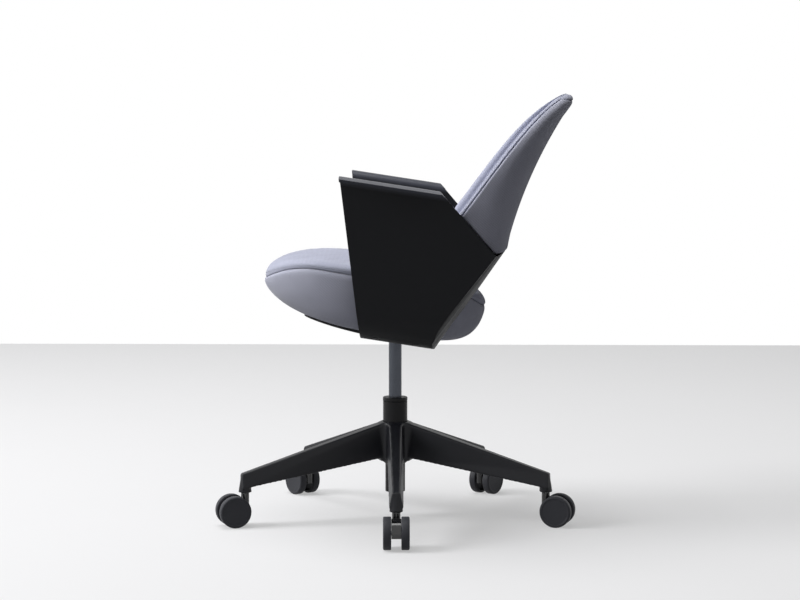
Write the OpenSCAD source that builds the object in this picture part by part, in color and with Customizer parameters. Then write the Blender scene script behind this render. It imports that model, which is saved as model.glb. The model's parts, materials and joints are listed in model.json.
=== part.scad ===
// Swivel task chair: a five-star base on twin-wheel casters, a gas lift, a rocking mechanism,
// a wrap-around moulded shell that makes the arms, and an upholstered seat and back.
// Origin on the floor under the column. +Z is up, the chair faces -Y, millimetres throughout.
// The seat is drawn leaning back against its stop. Everything above the tilt axis is modelled
// upright, measured from that axis, and leaned back as one by module reclined().

/* [Base] */
// Radius of the circle on which the caster stems stand
stem_circle_r = 326; // [300:1:350]
// Height of the top of the hub
hub_top_h = 204.5; // [200:0.5:208]
// Height of the underside of the hub
hub_bottom_h = 121; // [112:1:130]
// Smallest radius of the hub between two legs
hub_waist_r = 34; // [31:1:38]
// Height of a leg's top face at the column axis
leg_top_root_h = 211; // [206:1:218]
// Height of a leg's top face at its tip
leg_top_tip_h = 109; // [100:1:120]
// Height of a leg's underside at the column axis
leg_under_root_h = 134; // [128:1:140]
// Height of a leg's underside at its tip
leg_under_tip_h = 78; // [75:1:88]
// Width of a leg's top face at the column axis
leg_top_root_w = 28; // [24:1:32]
// Width of a leg's top face at its tip
leg_top_tip_w = 15.5; // [14:0.5:20]
// Width of a leg's underside at the column axis
leg_under_root_w = 35; // [32:1:40]
// Width of a leg's underside at its tip
leg_under_tip_w = 29; // [26:1:34]
// Wall of the hollow underside of a leg
leg_wall = 4; // [3:0.5:6]
// Height of the lower face of a tip boss
boss_h = 70; // [68:0.5:74]
// Diameter of a tip boss at its lower face
boss_d = 28; // [24:0.5:32]
// Turn of the whole base about the column, in degrees
leg_turn = 1.65; // [-10:0.05:10]

/* [Column] */
// Outer diameter of the column tube
tube_d = 51; // [49:0.5:53]
// Height of the top face of the guide ring on the tube
tube_top_h = 255; // [245:1:275]
// Height of the guide ring above the tube
ring_h = 8; // [6:0.5:12]
// Outer diameter of the lower end of the tube
tube_low_d = 41.5; // [39:0.5:44]
// Height of the lower end of the tube
tube_low_h = 55; // [50:1:60]
// Wall of the tube
tube_wall = 2; // [1.5:0.25:3]
// Outer diameter of the gas cylinder
cylinder_d = 27; // [26:0.5:29]
// Wall of the gas cylinder
cylinder_wall = 1.5; // [1:0.25:2]
// Travel of the gas lift
lift_travel = 93; // [80:1:98]
// Diameter of the piston rod
rod_d = 10; // [8:0.5:12]

/* [Casters] */
// Diameter of a wheel
wheel_d = 65; // [60:0.5:66]
// Width of a wheel
wheel_w = 16; // [13:0.5:20]
// Space between the two wheels of a caster
wheel_gap = 20; // [18:0.5:24]
// Distance from the stem's axis to the wheel axle
caster_trail = 25; // [20:0.5:28]
// Diameter of the stem
stem_d = 11; // [10:0.5:12]
// Diameter of the wheel axle
axle_d = 8; // [6:0.5:10]

/* [Mechanism] */
// Height of the tilt axis above the floor with the seat fully up
tilt_h = 412; // [408:1:416]
// Angle between the upright seat and the seat that leans on its rear stop
tilt_angle = 8.68; // [6:0.01:10]
// Diameter of the two tilt pins
pin_d = 12; // [10:0.5:13]
// Width of the mechanism's housing
housing_w = 80; // [76:1:84]
// Length of the mechanism's housing
housing_l = 104; // [100:1:108]
// Outer diameter of the socket that grips the gas cylinder
socket_d = 50; // [46:1:56]
// Height of the seat carrier above the tilt axis
carrier_h = 38; // [36:1:42]
// Thickness of the carrier's steel plate
carrier_t = 4; // [3:0.5:5]

/* [Shell] */
// Wall of the moulded shell
shell_t = 6; // [4:0.25:7]
// Depth of the shell's floor below the tilt axis
floor_drop = 24; // [23:0.5:26]
// Half width of the flat part of the floor
floor_half_w = 185; // [180:1:190]
// Outer radius from the floor to a side
floor_r = 66; // [60:1:72]
// Angle by which a side leans outwards
side_lean = 7; // [5:0.25:9]
// Height of the arm above the tilt axis
arm_h = 294; // [280:1:310]
// Radius under the arm's rolled lip
lip_r = 16; // [10:1:20]
// Width of the straight part of the lip
lip_w = 20; // [14:1:26]
// Droop of the lip below horizontal, in degrees
lip_droop = 14; // [5:1:20]
// How far the front end of the arm stands in front of the tilt axis
arm_front = 149; // [140:1:158]
// How far the rear end of the arm's level top stands behind the tilt axis
arm_rear = 48; // [40:1:56]
// How far the shell's floor starts in front of the tilt axis
floor_front = 62; // [56:1:68]
// Rearward place of the notch where the arm edge meets the rear wall
notch_y = 179; // [172:1:186]
// Height of that notch above the tilt axis
notch_z = 183; // [176:1:190]
// Slope of the rear wall from vertical, in degrees
wall_slope = 28.9; // [25:0.1:32]
// Bulge of the rear wall behind its edges, at the floor
wall_bulge_low = 28; // [24:1:34]
// Bulge of the rear wall behind its edges, at the top
wall_bulge_top = 15; // [12:1:17]
// Height of the opening in the rear wall above the tilt axis
arch_h = 122; // [118:1:128]
// Half width of the opening in the rear wall
arch_half_w = 188; // [186:1:194]

/* [Seat] */
// Half width of the seat
seat_half_w = 238; // [228:1:242]
// Reach of the seat in front of the tilt axis
seat_front = 283; // [270:1:300]
// Reach of the seat behind the tilt axis
seat_rear = 181; // [172:1:188]
// Height of the seam at the sides above the tilt axis
seam_h = 102; // [96:1:108]
// Fall of the seam at the front
nose_drop = 46; // [36:1:56]
// Fall of the seam at the rear
tail_drop = 36; // [30:1:42]
// Height of the seat's crown above the tilt axis
crown_h = 132; // [126:1:140]
// Dish in the middle of the seat
seat_dish = 8; // [4:1:14]
// Thickness of the board inside the seat
board_t = 9; // [6:0.5:12]

/* [Back] */
// Half width of the back at its foot
back_half_w = 268; // [264:1:269]
// Height of the back above its foot
back_rise = 336; // [320:1:350]
// Height of the foot of the back above the tilt axis
back_foot_h = 188; // [184:1:192]
// How far the wings of the back reach behind the tilt axis at the foot
back_wing_y = 59; // [54:1:66]
// Thickness of the back at its middle
back_thick = 50; // [44:1:60]
// Extra thickness of the back at its foot
lumbar_extra = 30; // [20:1:36]
// Thickness of the upholstered rear cover
cover_t = 15; // [12:0.5:18]

/* [Hidden] */
$fn = 48;
LEGS = 5;
leg_step = 360 / LEGS;
// Gap between two faces that touch but do not move
seat_gap = 0.25;
// Radial clearance of a running fit
run_gap = 0.05;
// Half of the open seam between two upholstered pieces
seam_gap = 0.4;
// Overrun of a cut past the face it opens
over = 5;

// Colours
nylon_black = "#1d1d20";
shell_black = "#212124";
steel_dark = "#3c3f43";
steel_bright = "#9da0a4";
rubber_black = "#151515";
fabric_light = "#a9aabd";
fabric_dark = "#7f8190";
board_brown = "#a58a68";

// Base
hub_leg_half = (leg_top_root_w + leg_under_root_w) / 4;
waist_fillet_r = (hub_waist_r * sin(leg_step / 2) - hub_leg_half) / (1 - sin(leg_step / 2));
waist_fillet_at = hub_waist_r + waist_fillet_r;
waist_margin = 2;
waist_sweep = 90 - leg_step / 2 - waist_margin;
hub_shoulder_drop = 7;
hub_shoulder_w = 3;
hub_shoulder_r = hub_waist_r + hub_shoulder_w;
hub_flat_w = 2;
leg_root_r = 12;
leg_past_stem = 8;
leg_tip_r = stem_circle_r + leg_past_stem;
boss_top_h = leg_top_tip_h;
rib_count = 4;
rib_t = 3;
hub_solid_w = 16;
pocket_start_r = hub_waist_r + hub_solid_w;
pocket_end_r = stem_circle_r - boss_d / 2 - leg_wall;
socket_wall = 1.5;
socket_l = 31;
stem_up = 27;
stem_drop = 21;
stem_low_h = boss_h - stem_drop;

// Column
ring_gap_h = 1;
ring_lip = 0.4;
ring_chamfer = 1;
rod_room = 1;
piston_seat = 1;
tube_bore_r = tube_d / 2 - tube_wall;
tube_low_r = tube_low_d / 2;
tube_low_bore_r = tube_low_r - tube_wall;
tube_step_drop = 3;
tube_step_h = hub_bottom_h - tube_step_drop;
tube_rim_h = tube_top_h - ring_h - ring_gap_h;
tube_floor_t = 3;
guide_l = 70;
race_t = 2;
ball_d = 3.6;
ball_count = 10;
ball_sides = 24;
ball_circle_r = 10;
buffer_l = 8;
buffer_room = 0.3;
clip_t = 1.6;
clip_w = 3.5;
rod_past_tube = 4;
rod_end_h = tube_low_h - rod_past_tube;
piston_h = 10;
cylinder_r = cylinder_d / 2;
cylinder_bore_r = cylinder_r - cylinder_wall;
cylinder_end_t = 7;
cylinder_below_axis = 14;
cylinder_top_h = tilt_h - cylinder_below_axis;
buffer_low_h = tube_low_h + tube_floor_t + race_t + ball_d + seat_gap / 2;
cylinder_low_h = buffer_low_h + buffer_l + buffer_room + lift_travel;
button_d = 8;
button_up = 5;

// Casters
axle_h = wheel_d / 2;
hood_in_tread = 4;
hood_r = wheel_d / 2 - hood_in_tread;
hood_side_gap = 0.5;
hood_w = wheel_gap - 2 * hood_side_gap;
hood_past_axle = 6;
hood_edge_h = axle_h - hood_past_axle;
hood_wall = 3;
hood_rib_t = 3;
hood_boss_d = 17;
neck_d = 16.5;
neck_room = 1;
neck_top_h = boss_h - neck_room;
wheel_edge_r = 3;
wheel_face_step = 0.8;
wheel_rim = 5;
wheel_hub_r = 9;
wheel_web = 5;
axle_l = wheel_gap + 2 * (wheel_w - wheel_web);

// Mechanism
socket_below_axis = 38;
socket_low_h = tilt_h - socket_below_axis;
housing_below_axis = 12;
socket_base_h = tilt_h - housing_below_axis;
housing_top_front = 29;
housing_top_rear = 20;
housing_skirt = 9;
housing_corner_r = 6;
housing_top_r = 20;
trunnion_r = 12;
trunnion_l = 4;
ear_r = 13;
ear_t = 5;
ear_gap = 18;
ear_in = housing_w / 2 + trunnion_l + ear_gap;
rubber_r = 12;
pin_start = 22;
pin_past_ear = 4;
pin_l = ear_in + ear_t + pin_past_ear - pin_start;
pin_ring_t = 2;
pin_ring_w = 3;
bumper_d = 16;
bumper_x = 24;
bumper_y = 40;
bumper_seat = 3;
ear_top_half = 16;
arm_plate_front = 52;
arm_plate_rear = 68;
window_x = 84;
window_w = 96;
window_room = 7;
bolt_angle = 20;
bolt_front_y = -32;
bolt_rear_y = 50;
bolt_d = 8;
bolt_head_d = 15;
bolt_head_h = 3;
recess_d = 19;
recess_depth = 3.3;
bolt_past_nut = 2;
pad_d = 27;
pad_h = 4;
bond = 1;
neck_hole_d = 84;
nut_d = 14;
nut_h = 6;
lever_y = 23;
lever_w = 12;
lever_t = 4;
lever_pivot_x = -26;
lever_pivot_up = 4;
lever_pivot_h = tilt_h + lever_pivot_up;
lever_pin_d = 5;
lever_bend_x = -150;
lever_drop_x = -162;
lever_end_x = -224;
lever_drop = 52;
lever_low_h = tilt_h - lever_drop;
lever_slot_half_l = 16;
lever_room = 3;
lever_dip = 2.5;
lever_foot_step = 0.5;
lever_knee = 5;
handle_l = 44;
handle_w = 34;
handle_h = 11;
handle_past = 5;
handle_r = 10;
handle_neck_r = 5;

screw_d = 6;
screw_head_d = 12;
screw_head_h = 3;
screw_tip_room = 1;
screw_x = 52;
screw_y = 40;

// Shell: the side line touches the floor curve and the curve under the lip
floor_in = floor_drop - shell_t;
curve_z = floor_r - floor_drop;
lip_centre_z = arm_h - lip_r - shell_t;
arm_clear_h = 2;
arm_top_h = arm_h + arm_clear_h;
arm_tip_r = 4;
arm_bend_r = 10;
side_front_run = (arm_front - floor_front) / (arm_h + floor_drop);
side_start = [floor_half_w + floor_r * cos(side_lean), curve_z - floor_r * sin(side_lean)];
side_run = (lip_centre_z + lip_r * sin(side_lean) - side_start[1]) / cos(side_lean);
side_end = side_start + side_run * [sin(side_lean), cos(side_lean)];
lip_centre = side_end + lip_r * [cos(side_lean), -sin(side_lean)];
arc_steps = 12;
crease_low = [notch_y - (notch_z + floor_drop) * tan(wall_slope), -floor_drop];
wall_len = (notch_z + floor_drop) / cos(wall_slope);
wall_past_top = 70;
wall_reach = wall_len + wall_past_top;
wall_below = 95;
wall_far = arm_h * 2;
wall_curve_steps = 24;
wall_power = 4;
wall_half_w = lip_centre[0] + lip_r + lip_w + over;
wall_edge_low = side_start[0];
wall_edge_top = side_start[0] + (notch_z - side_start[1]) * tan(side_lean);
wall_top_rise = 20;
wall_top_run = 40;
wall_top_y = notch_y + wall_top_run;
arch_draw_in = 12;
arch_low_half_w = arch_half_w - arch_draw_in;
arch_top_half_w = arch_half_w - arch_draw_in;
arch_widest_share = 0.42;
arch_low_r = 60;
arch_top_r = 48;

// Seat carrier's side arm: its underside from the plate down to the foot on the bolt pads
foot_r = floor_r - shell_t - pad_h - seat_gap;
foot_half_w = pad_d / 2;
arm_knee_x = 72;
arm_foot = [floor_half_w + foot_r * sin(bolt_angle), curve_z - foot_r * cos(bolt_angle)];

// Seat
seat_mid_y = (seat_rear - seat_front) / 2;
seat_half_l = (seat_rear + seat_front) / 2;
nose_start_y = -150;
tail_start_y = 60;
board_z = carrier_h + carrier_t + seat_gap;
cushion_z = board_z + board_t + seat_gap;
seat_low_z = -floor_in + seat_gap;
board_share = 0.8;
pocket_share = 0.86;
plug_share = 0.85;
cavity_half_w = 186;
cavity_front = 60;
cavity_rear = 74;
cavity_r = 12;
outline_power = 2.5;
seam_power = 2.5;
crown_power = 3;
crown_root = 0.4;
rear_fall = 22;
nose_power = 2.6;
tail_power = 8;
bowl_root = 0.5;
crown_shares = [0.25, 0.5, 0.7, 0.83, 0.91, 0.96, 0.99];
bowl_shares = [0.99, 0.965, 0.92, 0.85, 0.76, 0.64, 0.48, 0.26];
seam_in_share = 0.992;
seat_steps = 44;
tray_front = 190;
tray_half_w = 92;
tray_tip_half_w = 30;
tray_t = 8;
tray_thin_share = 0.3;
tray_root_r = 20;
tray_tip_r = 24;
tray_steps = 8;

// Back
back_steps = 8;
back_edge = 13;
back_wing_rise = 176;
back_wing_curve = 30;
back_wing_power = 6;
back_rear_y = 203;
back_rear_rise = 29;
back_rear_curve = 70;
back_flare = 44;
back_draw_in = 95;
top_thin = 14;
top_power = 6;
top_root = 0.4;
roll_share = 0.93;
corner_power = 2.3;
corner_foot_power = 3;
inner_power = 2.35;
tip_angle = 30;
tip_gap_angle = 5;
pad_tip_angles = [tip_angle + tip_gap_angle, 70, 108, 145];
back_level_shares = [-0.03, 0.06, 0.16, 0.28, 0.4, 0.52, 0.64, 0.75, 0.84, 0.91, 0.95, 0.98, 0.995];
pad_low = 148;
pad_foot_h = 8;
wall_room = 1;
top_offset = 4;
top_inset = 1;
shell_clear = 2;

// Board inside the back and the straps that hold it
back_board_t = 6;
board_low = 206;
board_high = 440;
board_levels = 6;
board_angle = 34;
board_angle_room = 1;
board_steps = 6;
strap_t = 4;
strap_w = 26;
strap_x = 40;
strap_room = 6;
strap_open = 40;
strap_boss_h = 3;
strap_boss_d = 18;
strap_knee_z = 166;
strap_top_z = 262;
strap_low_t = 172;
strap_screw_t = 188;
strap_screw_z = 240;
strap_screw_past = 2;
board_sag = 1.8;
board_room = 1.5;

// Puts upright parts, measured from the tilt axis, into the leaned-back rest pose
module reclined() {
    translate([0, 0, tilt_h]) rotate([-tilt_angle, 0, 0]) children();
}

// Points along an arc, from angle a to angle b
function arc(centre, r, a, b, steps) =
    [for (i = [0:steps]) centre + r * [cos(a + (b - a) * i / steps), sin(a + (b - a) * i / steps)]];

// A list of points mirrored in X and walked backwards
function mirrored(points) = [for (i = [len(points) - 1:-1:0]) [-points[i][0], points[i][1]]];

// Rounds every corner of an outline with its own radius
function rounded(points, radii, steps = 4) = [
    for (i = [0:len(points) - 1])
        let (
            n = len(points),
            p = points[i],
            u = unit(points[(i + n - 1) % n] - p),
            v = unit(points[(i + 1) % n] - p),
            half = acos(max(-1, min(1, u * v))) / 2,
            centre = p + unit(u + v) * radii[i] / sin(half)
        )
        each radii[i] == 0 ? [p] : corner(p, u, v, half, centre, radii[i], steps)
];
function unit(v) = v / norm(v);
function corner(p, u, v, half, centre, r, steps) =
    let (
        from = p + u * r / tan(half) - centre,
        to = p + v * r / tan(half) - centre,
        a = atan2(from[1], from[0]),
        turn = atan2(to[1], to[0]) - a,
        sweep = turn > 180 ? turn - 360 : turn < -180 ? turn + 360 : turn
    )
    [for (k = [0:steps]) centre + r * [cos(a + sweep * k / steps), sin(a + sweep * k / steps)]];

// Point at distance t to the left of the corner b of the path a, b, c
function mitred(a, b, c, t) = let (
    u = unit(b - a),
    v = unit(c - b),
    n = [-u[1], u[0]],
    m = unit(n + [-v[1], v[0]])
) b + m * t / (m * n);

// A closed skin through rings of points with the same count, capped at both ends by a point.
// Each ring runs anticlockwise when it is seen from the first tip.
module loft(rings, first_tip, last_tip) {
    n = len(rings[0]);
    m = len(rings);
    points = concat([first_tip], [for (ring = rings) each ring], [last_tip]);
    last = n * m + 1;
    first_cap = [for (i = [0:n - 1]) [0, 1 + (i + 1) % n, 1 + i]];
    last_cap = [for (i = [0:n - 1]) [last, last - n + i, last - n + (i + 1) % n]];
    polyhedron(points, concat(first_cap, skin(n, m, 1), last_cap), convexity = 6);
}

// Faces between m rings of n points each, the first ring starting at a given point
function skin(n, m, start) = [for (k = [0:m - 2]) for (i = [0:n - 1]) let (
    a = start + k * n + i,
    b = start + k * n + (i + 1) % n
) each [[a, b + n, a + n], [a, b, b + n]]];

// The same for curved strips, whose rings run out along one line and back along another:
// each end is closed by a ladder of faces across the strip.
module strip_loft(rings) {
    n = len(rings[0]);
    last = n * (len(rings) - 1);
    rungs = [for (i = [0:n / 2 - 2]) each [[i, i + 1, n - 1 - i], [i + 1, n - 2 - i, n - 1 - i]]];
    first_cap = [for (f = rungs) [f[2], f[1], f[0]]];
    last_cap = [for (f = rungs) [f[0] + last, f[1] + last, f[2] + last]];
    polyhedron([for (ring = rings) each ring],
        concat(first_cap, skin(n, len(rings), 0), last_cap), convexity = 6);
}

// Extrudes an outline drawn in YZ along X, centred
module side_extrude(w) {
    rotate([90, 0, 90]) linear_extrude(height = w, center = true, convexity = 6) children();
}

// Extrudes an outline drawn in XZ along Y, from y_from to y_to
module front_extrude(y_from, y_to) {
    translate([0, y_to, 0]) rotate([90, 0, 0])
        linear_extrude(height = y_to - y_from, convexity = 6) children();
}

// A cylinder along X between two places
module bar_x(x_from, x_to, d) {
    translate([x_from, 0, 0]) rotate([0, 90, 0]) cylinder(d = d, h = x_to - x_from);
}

// Both sides of the chair
module both_sides() {
    children();
    mirror([1, 0, 0]) children();
}

// Base

function leg_top_z(r) = leg_top_root_h + (leg_top_tip_h - leg_top_root_h) * r / leg_tip_r;
function leg_under_z(r) = leg_under_root_h + (leg_under_tip_h - leg_under_root_h) * r / leg_tip_r;
function leg_top_half(r) = (leg_top_root_w + (leg_top_tip_w - leg_top_root_w) * r / leg_tip_r) / 2;
function leg_under_half(r) =
    (leg_under_root_w + (leg_under_tip_w - leg_under_root_w) * r / leg_tip_r) / 2;

// Cross-section of a leg at radius r, inset by a wall, open below when down is past zero
function leg_ring(r, inset, down) = [
    [r, leg_top_half(r) - inset, leg_top_z(r) - inset],
    [r, leg_under_half(r) - inset, leg_under_z(r) - down],
    [r, inset - leg_under_half(r), leg_under_z(r) - down],
    [r, inset - leg_top_half(r), leg_top_z(r) - inset]
];
function ring_middle(ring) = (ring[0] + ring[1] + ring[2] + ring[3]) / 4;

module leg_block(r_from, r_to, inset, down) {
    a = leg_ring(r_from, inset, down);
    b = leg_ring(r_to, inset, down);
    loft([a, b], ring_middle(a), ring_middle(b));
}

module each_leg() {
    for (i = [0:LEGS - 1]) rotate([0, 0, leg_turn + i * leg_step]) children();
}

// Hub: five fillets between the legs, under a shallow cone
module hub() {
    outline = [for (i = [0:LEGS - 1]) let (a = leg_turn + (i + 0.5) * leg_step)
        each arc(waist_fillet_at * [cos(a), sin(a)], waist_fillet_r,
            a + 180 + waist_sweep, a + 180 - waist_sweep, arc_steps)];
    intersection() {
        translate([0, 0, hub_bottom_h]) linear_extrude(height = hub_top_h) polygon(outline);
        rotate_extrude() polygon([
            [0, hub_bottom_h - over],
            [waist_fillet_at + over, hub_bottom_h - over],
            [waist_fillet_at + over, hub_top_h - hub_shoulder_drop * 2],
            [hub_shoulder_r, hub_top_h - hub_shoulder_drop / 2],
            [tube_d / 2 + hub_flat_w, hub_top_h],
            [0, hub_top_h]
        ]);
    }
}

module base_star() {
    bay = (pocket_end_r - pocket_start_r + rib_t) / rib_count;
    color(nylon_black) difference() {
        union() {
            hub();
            each_leg() {
                leg_block(leg_root_r, leg_tip_r, 0, 0);
                translate([stem_circle_r, 0, boss_h])
                    cylinder(d1 = boss_d, d2 = leg_top_tip_w, h = boss_top_h - boss_h);
            }
        }
        translate([0, 0, hub_bottom_h - over])
            cylinder(d = tube_d + 2 * run_gap, h = hub_top_h - hub_bottom_h + 2 * over);
        each_leg() {
            for (k = [0:rib_count - 1])
                leg_block(pocket_start_r + k * bay, pocket_start_r + (k + 1) * bay - rib_t,
                    leg_wall, over);
            translate([stem_circle_r, 0, boss_h - over])
                cylinder(d = stem_d + 2 * (socket_wall + run_gap), h = socket_l + over);
        }
    }
}

module column_tube() {
    bore = tube_bore_r;
    color(steel_dark) rotate_extrude() polygon([
        [rod_d / 2 + rod_room, tube_low_h],
        [tube_low_r, tube_low_h],
        [tube_low_r, tube_step_h - tube_wall * 2],
        [tube_d / 2, tube_step_h],
        [tube_d / 2, tube_rim_h],
        [bore, tube_rim_h],
        [bore, tube_step_h + tube_wall],
        [tube_low_bore_r, tube_step_h - tube_wall],
        [tube_low_bore_r, tube_low_h + tube_floor_t],
        [rod_d / 2 + rod_room, tube_low_h + tube_floor_t]
    ]);
}

module guide_ring() {
    slide_r = cylinder_r + run_gap;
    top = tube_top_h;
    color(nylon_black) rotate_extrude() polygon([
        [slide_r, top],
        [tube_d / 2 + ring_lip - ring_chamfer, top],
        [tube_d / 2 + ring_lip, top - ring_chamfer],
        [tube_d / 2 + ring_lip, top - ring_h],
        [tube_bore_r - run_gap, top - ring_h],
        [tube_bore_r - run_gap, top - guide_l],
        [slide_r, top - guide_l]
    ]);
}

module bearing_race() {
    color(steel_bright) translate([0, 0, tube_low_h + tube_floor_t]) difference() {
        cylinder(r = tube_low_bore_r - run_gap, h = race_t);
        translate([0, 0, -over]) cylinder(r = rod_d / 2 + rod_room, h = race_t + 2 * over);
    }
}

module stem_sockets() {
    color(steel_dark) each_leg() translate([stem_circle_r, 0, boss_h]) difference() {
        cylinder(d = stem_d + 2 * socket_wall, h = socket_l - run_gap);
        translate([0, 0, -over]) cylinder(d = stem_d + 2 * run_gap, h = socket_l + 2 * over);
    }
}

module caster_stems() {
    color(steel_bright) each_leg() translate([stem_circle_r, 0, stem_low_h])
        cylinder(d = stem_d, h = boss_h + stem_up - stem_low_h);
}

// Column insides

module piston_rod() {
    color(steel_bright) translate([0, 0, rod_end_h])
        cylinder(d = rod_d, h = cylinder_low_h + cylinder_end_t + piston_seat - rod_end_h);
}

module piston() {
    color(steel_dark) translate([0, 0, cylinder_low_h + cylinder_end_t + piston_seat])
        cylinder(r = cylinder_bore_r - run_gap, h = piston_h);
}

module buffer_ring() {
    color(rubber_black) translate([0, 0, buffer_low_h]) difference() {
        cylinder(r = cylinder_r, h = buffer_l);
        translate([0, 0, -over]) cylinder(d = rod_d + 2 * run_gap, h = buffer_l + 2 * over);
    }
}

module bearing_balls() {
    low = tube_low_h + tube_floor_t + race_t + seat_gap / 2;
    color(steel_bright) for (i = [0:ball_count - 1]) rotate([0, 0, i * 360 / ball_count])
        translate([ball_circle_r, 0, low + ball_d / 2]) sphere(d = ball_d - seat_gap / 2, $fn = ball_sides);
}

module rod_clip() {
    color(steel_dark) translate([0, 0, tube_low_h - seat_gap - clip_t]) difference() {
        cylinder(r = rod_d / 2 + clip_w, h = clip_t);
        translate([0, 0, -over]) cylinder(d = rod_d + 2 * run_gap, h = clip_t + 2 * over);
    }
}

module gas_cylinder() {
    color(steel_dark) rotate_extrude() polygon([
        [rod_d / 2 + run_gap, cylinder_low_h],
        [cylinder_r, cylinder_low_h],
        [cylinder_r, cylinder_top_h],
        [button_d / 2 + run_gap, cylinder_top_h],
        [button_d / 2 + run_gap, cylinder_top_h - cylinder_end_t],
        [cylinder_bore_r, cylinder_top_h - cylinder_end_t],
        [cylinder_bore_r, cylinder_low_h + cylinder_end_t],
        [rod_d / 2 + run_gap, cylinder_low_h + cylinder_end_t]
    ]);
}

module release_button() {
    color(steel_bright) translate([0, 0, cylinder_top_h - cylinder_end_t])
        cylinder(d = button_d, h = cylinder_end_t + button_up);
}

// Mechanism that rides on the gas cylinder

module mechanism_housing() {
    half_l = housing_l / 2;
    shape = rounded([
        [-half_l, tilt_h - housing_skirt / 2],
        [-socket_d / 2, socket_base_h],
        [socket_d / 2, socket_base_h],
        [half_l, tilt_h - housing_skirt],
        [half_l, tilt_h + housing_top_rear],
        [-socket_d / 4, tilt_h + housing_top_front],
        [-half_l, tilt_h + housing_top_front]
    ], [housing_corner_r, 0, 0, housing_corner_r, housing_corner_r, housing_top_r,
        housing_corner_r]);
    room_low = cylinder_top_h + button_up - lever_dip;
    room_top = lever_pivot_h + lever_t + lever_room;
    color(steel_dark) difference() {
        union() {
            side_extrude(housing_w) polygon(shape);
            translate([0, 0, socket_low_h])
                cylinder(d = socket_d, h = tilt_h - socket_low_h);
            translate([0, 0, tilt_h])
                bar_x(-housing_w / 2 - trunnion_l, housing_w / 2 + trunnion_l, 2 * trunnion_r);
        }
        translate([0, 0, socket_low_h - over])
            cylinder(r = cylinder_r + run_gap, h = cylinder_top_h - socket_low_h + over);
        translate([0, 0, cylinder_top_h - over])
            cylinder(d = button_d * 2, h = room_low - cylinder_top_h + 2 * over);
        translate([-housing_w / 2 - trunnion_l - over, lever_y - lever_w / 2 - lever_room, room_low])
            cube([housing_w / 2 + trunnion_l + over + button_d, lever_w + 2 * lever_room,
                room_top - room_low]);
        translate([-button_d, -button_d, room_low])
            cube([2 * button_d, lever_y + button_d, room_top - room_low]);
        translate([lever_pivot_x, lever_y - lever_w, lever_pivot_h]) rotate([-90, 0, 0])
            cylinder(d = lever_pin_d + 2 * run_gap, h = 2 * lever_w);
        translate([0, 0, tilt_h]) both_sides()
            bar_x(pin_start, housing_w, pin_d + 2 * run_gap);
        for (x = [-bumper_x, bumper_x]) {
            translate([x, -bumper_y, tilt_h + housing_top_front - bumper_seat])
                cylinder(d = bumper_d, h = bumper_seat + over);
            translate([0, 0, tilt_h]) rotate([-tilt_angle, 0, 0])
                translate([x, bumper_y, bumper_rear_low()]) cylinder(d = bumper_d, h = carrier_h);
        }
    }
}

// Height of the floor of the rear bumper's seat, measured in the leaned-back frame
function bumper_rear_low() = housing_top_rear + bumper_y * sin(tilt_angle) - bumper_seat;

module rubber_springs() {
    from = housing_w / 2 + trunnion_l + seat_gap;
    color(rubber_black) translate([0, 0, tilt_h]) both_sides() difference() {
        bar_x(from, ear_in - seat_gap, 2 * rubber_r);
        bar_x(from - over, ear_in + over, pin_d + 2 * run_gap);
    }
}

module stop_bumpers() {
    front_low = tilt_h + housing_top_front - bumper_seat + seat_gap;
    rear_low = bumper_rear_low() + seat_gap;
    color(rubber_black) for (x = [-bumper_x, bumper_x]) {
        translate([x, -bumper_y, front_low])
            cylinder(d = bumper_d - 2 * seat_gap, h = tilt_h + carrier_h - seat_gap - front_low);
        translate([0, 0, tilt_h]) rotate([-tilt_angle, 0, 0]) translate([x, bumper_y, rear_low])
            cylinder(d = bumper_d - 2 * seat_gap, h = carrier_h - seat_gap - rear_low);
    }
}

module lever_pin() {
    color(steel_bright) translate([lever_pivot_x, lever_y - lever_w, lever_pivot_h])
        rotate([-90, 0, 0]) cylinder(d = lever_pin_d, h = 2 * lever_w);
}

module lift_lever() {
    top = lever_pivot_h + lever_t;
    under = cylinder_top_h + button_up + seat_gap;
    color(steel_bright) difference() {
        union() {
            front_extrude(lever_y - lever_w / 2, lever_y + lever_w / 2) polygon([
                [0, under + lever_foot_step],
                [0, under + lever_t],
                [-button_d / 2, under + lever_t],
                [lever_pivot_x, top],
                [lever_bend_x - lever_t, top],
                [lever_drop_x - lever_t, lever_low_h + lever_t],
                [lever_end_x, lever_low_h + lever_t],
                [lever_end_x, lever_low_h],
                [lever_drop_x, lever_low_h],
                [lever_bend_x, top - lever_t],
                [lever_pivot_x - lever_knee, lever_pivot_h - lever_t],
                [-button_d, under + lever_foot_step]
            ]);
            translate([-button_d / 2, -button_d / 2, under])
                cube([button_d, lever_y + button_d / 2 + lever_w / 4, lever_t + lever_foot_step]);
        }
        translate([lever_pivot_x, lever_y - lever_w, lever_pivot_h]) rotate([-90, 0, 0])
            cylinder(d = lever_pin_d + 2 * run_gap, h = 2 * lever_w);
    }
}

module lever_handle() {
    outline = rounded([
        [lever_end_x - handle_past, lever_y - handle_w / 2],
        [lever_end_x - handle_past + handle_l, lever_y - handle_w / 3],
        [lever_end_x - handle_past + handle_l, lever_y + handle_w / 3],
        [lever_end_x - handle_past, lever_y + handle_w / 2]
    ], [handle_r, handle_neck_r, handle_neck_r, handle_r]);
    color(nylon_black) difference() {
        translate([0, 0, lever_low_h + lever_t / 2 - handle_h / 2])
            linear_extrude(height = handle_h) polygon(outline);
        translate([lever_end_x - seat_gap, lever_y - lever_w / 2 - seat_gap, lever_low_h - seat_gap])
            cube([handle_l + over, lever_w + 2 * seat_gap, lever_t + 2 * seat_gap]);
    }
}

// Casters, drawn with the stem on the Z axis and the axle trailing towards +X

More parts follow.
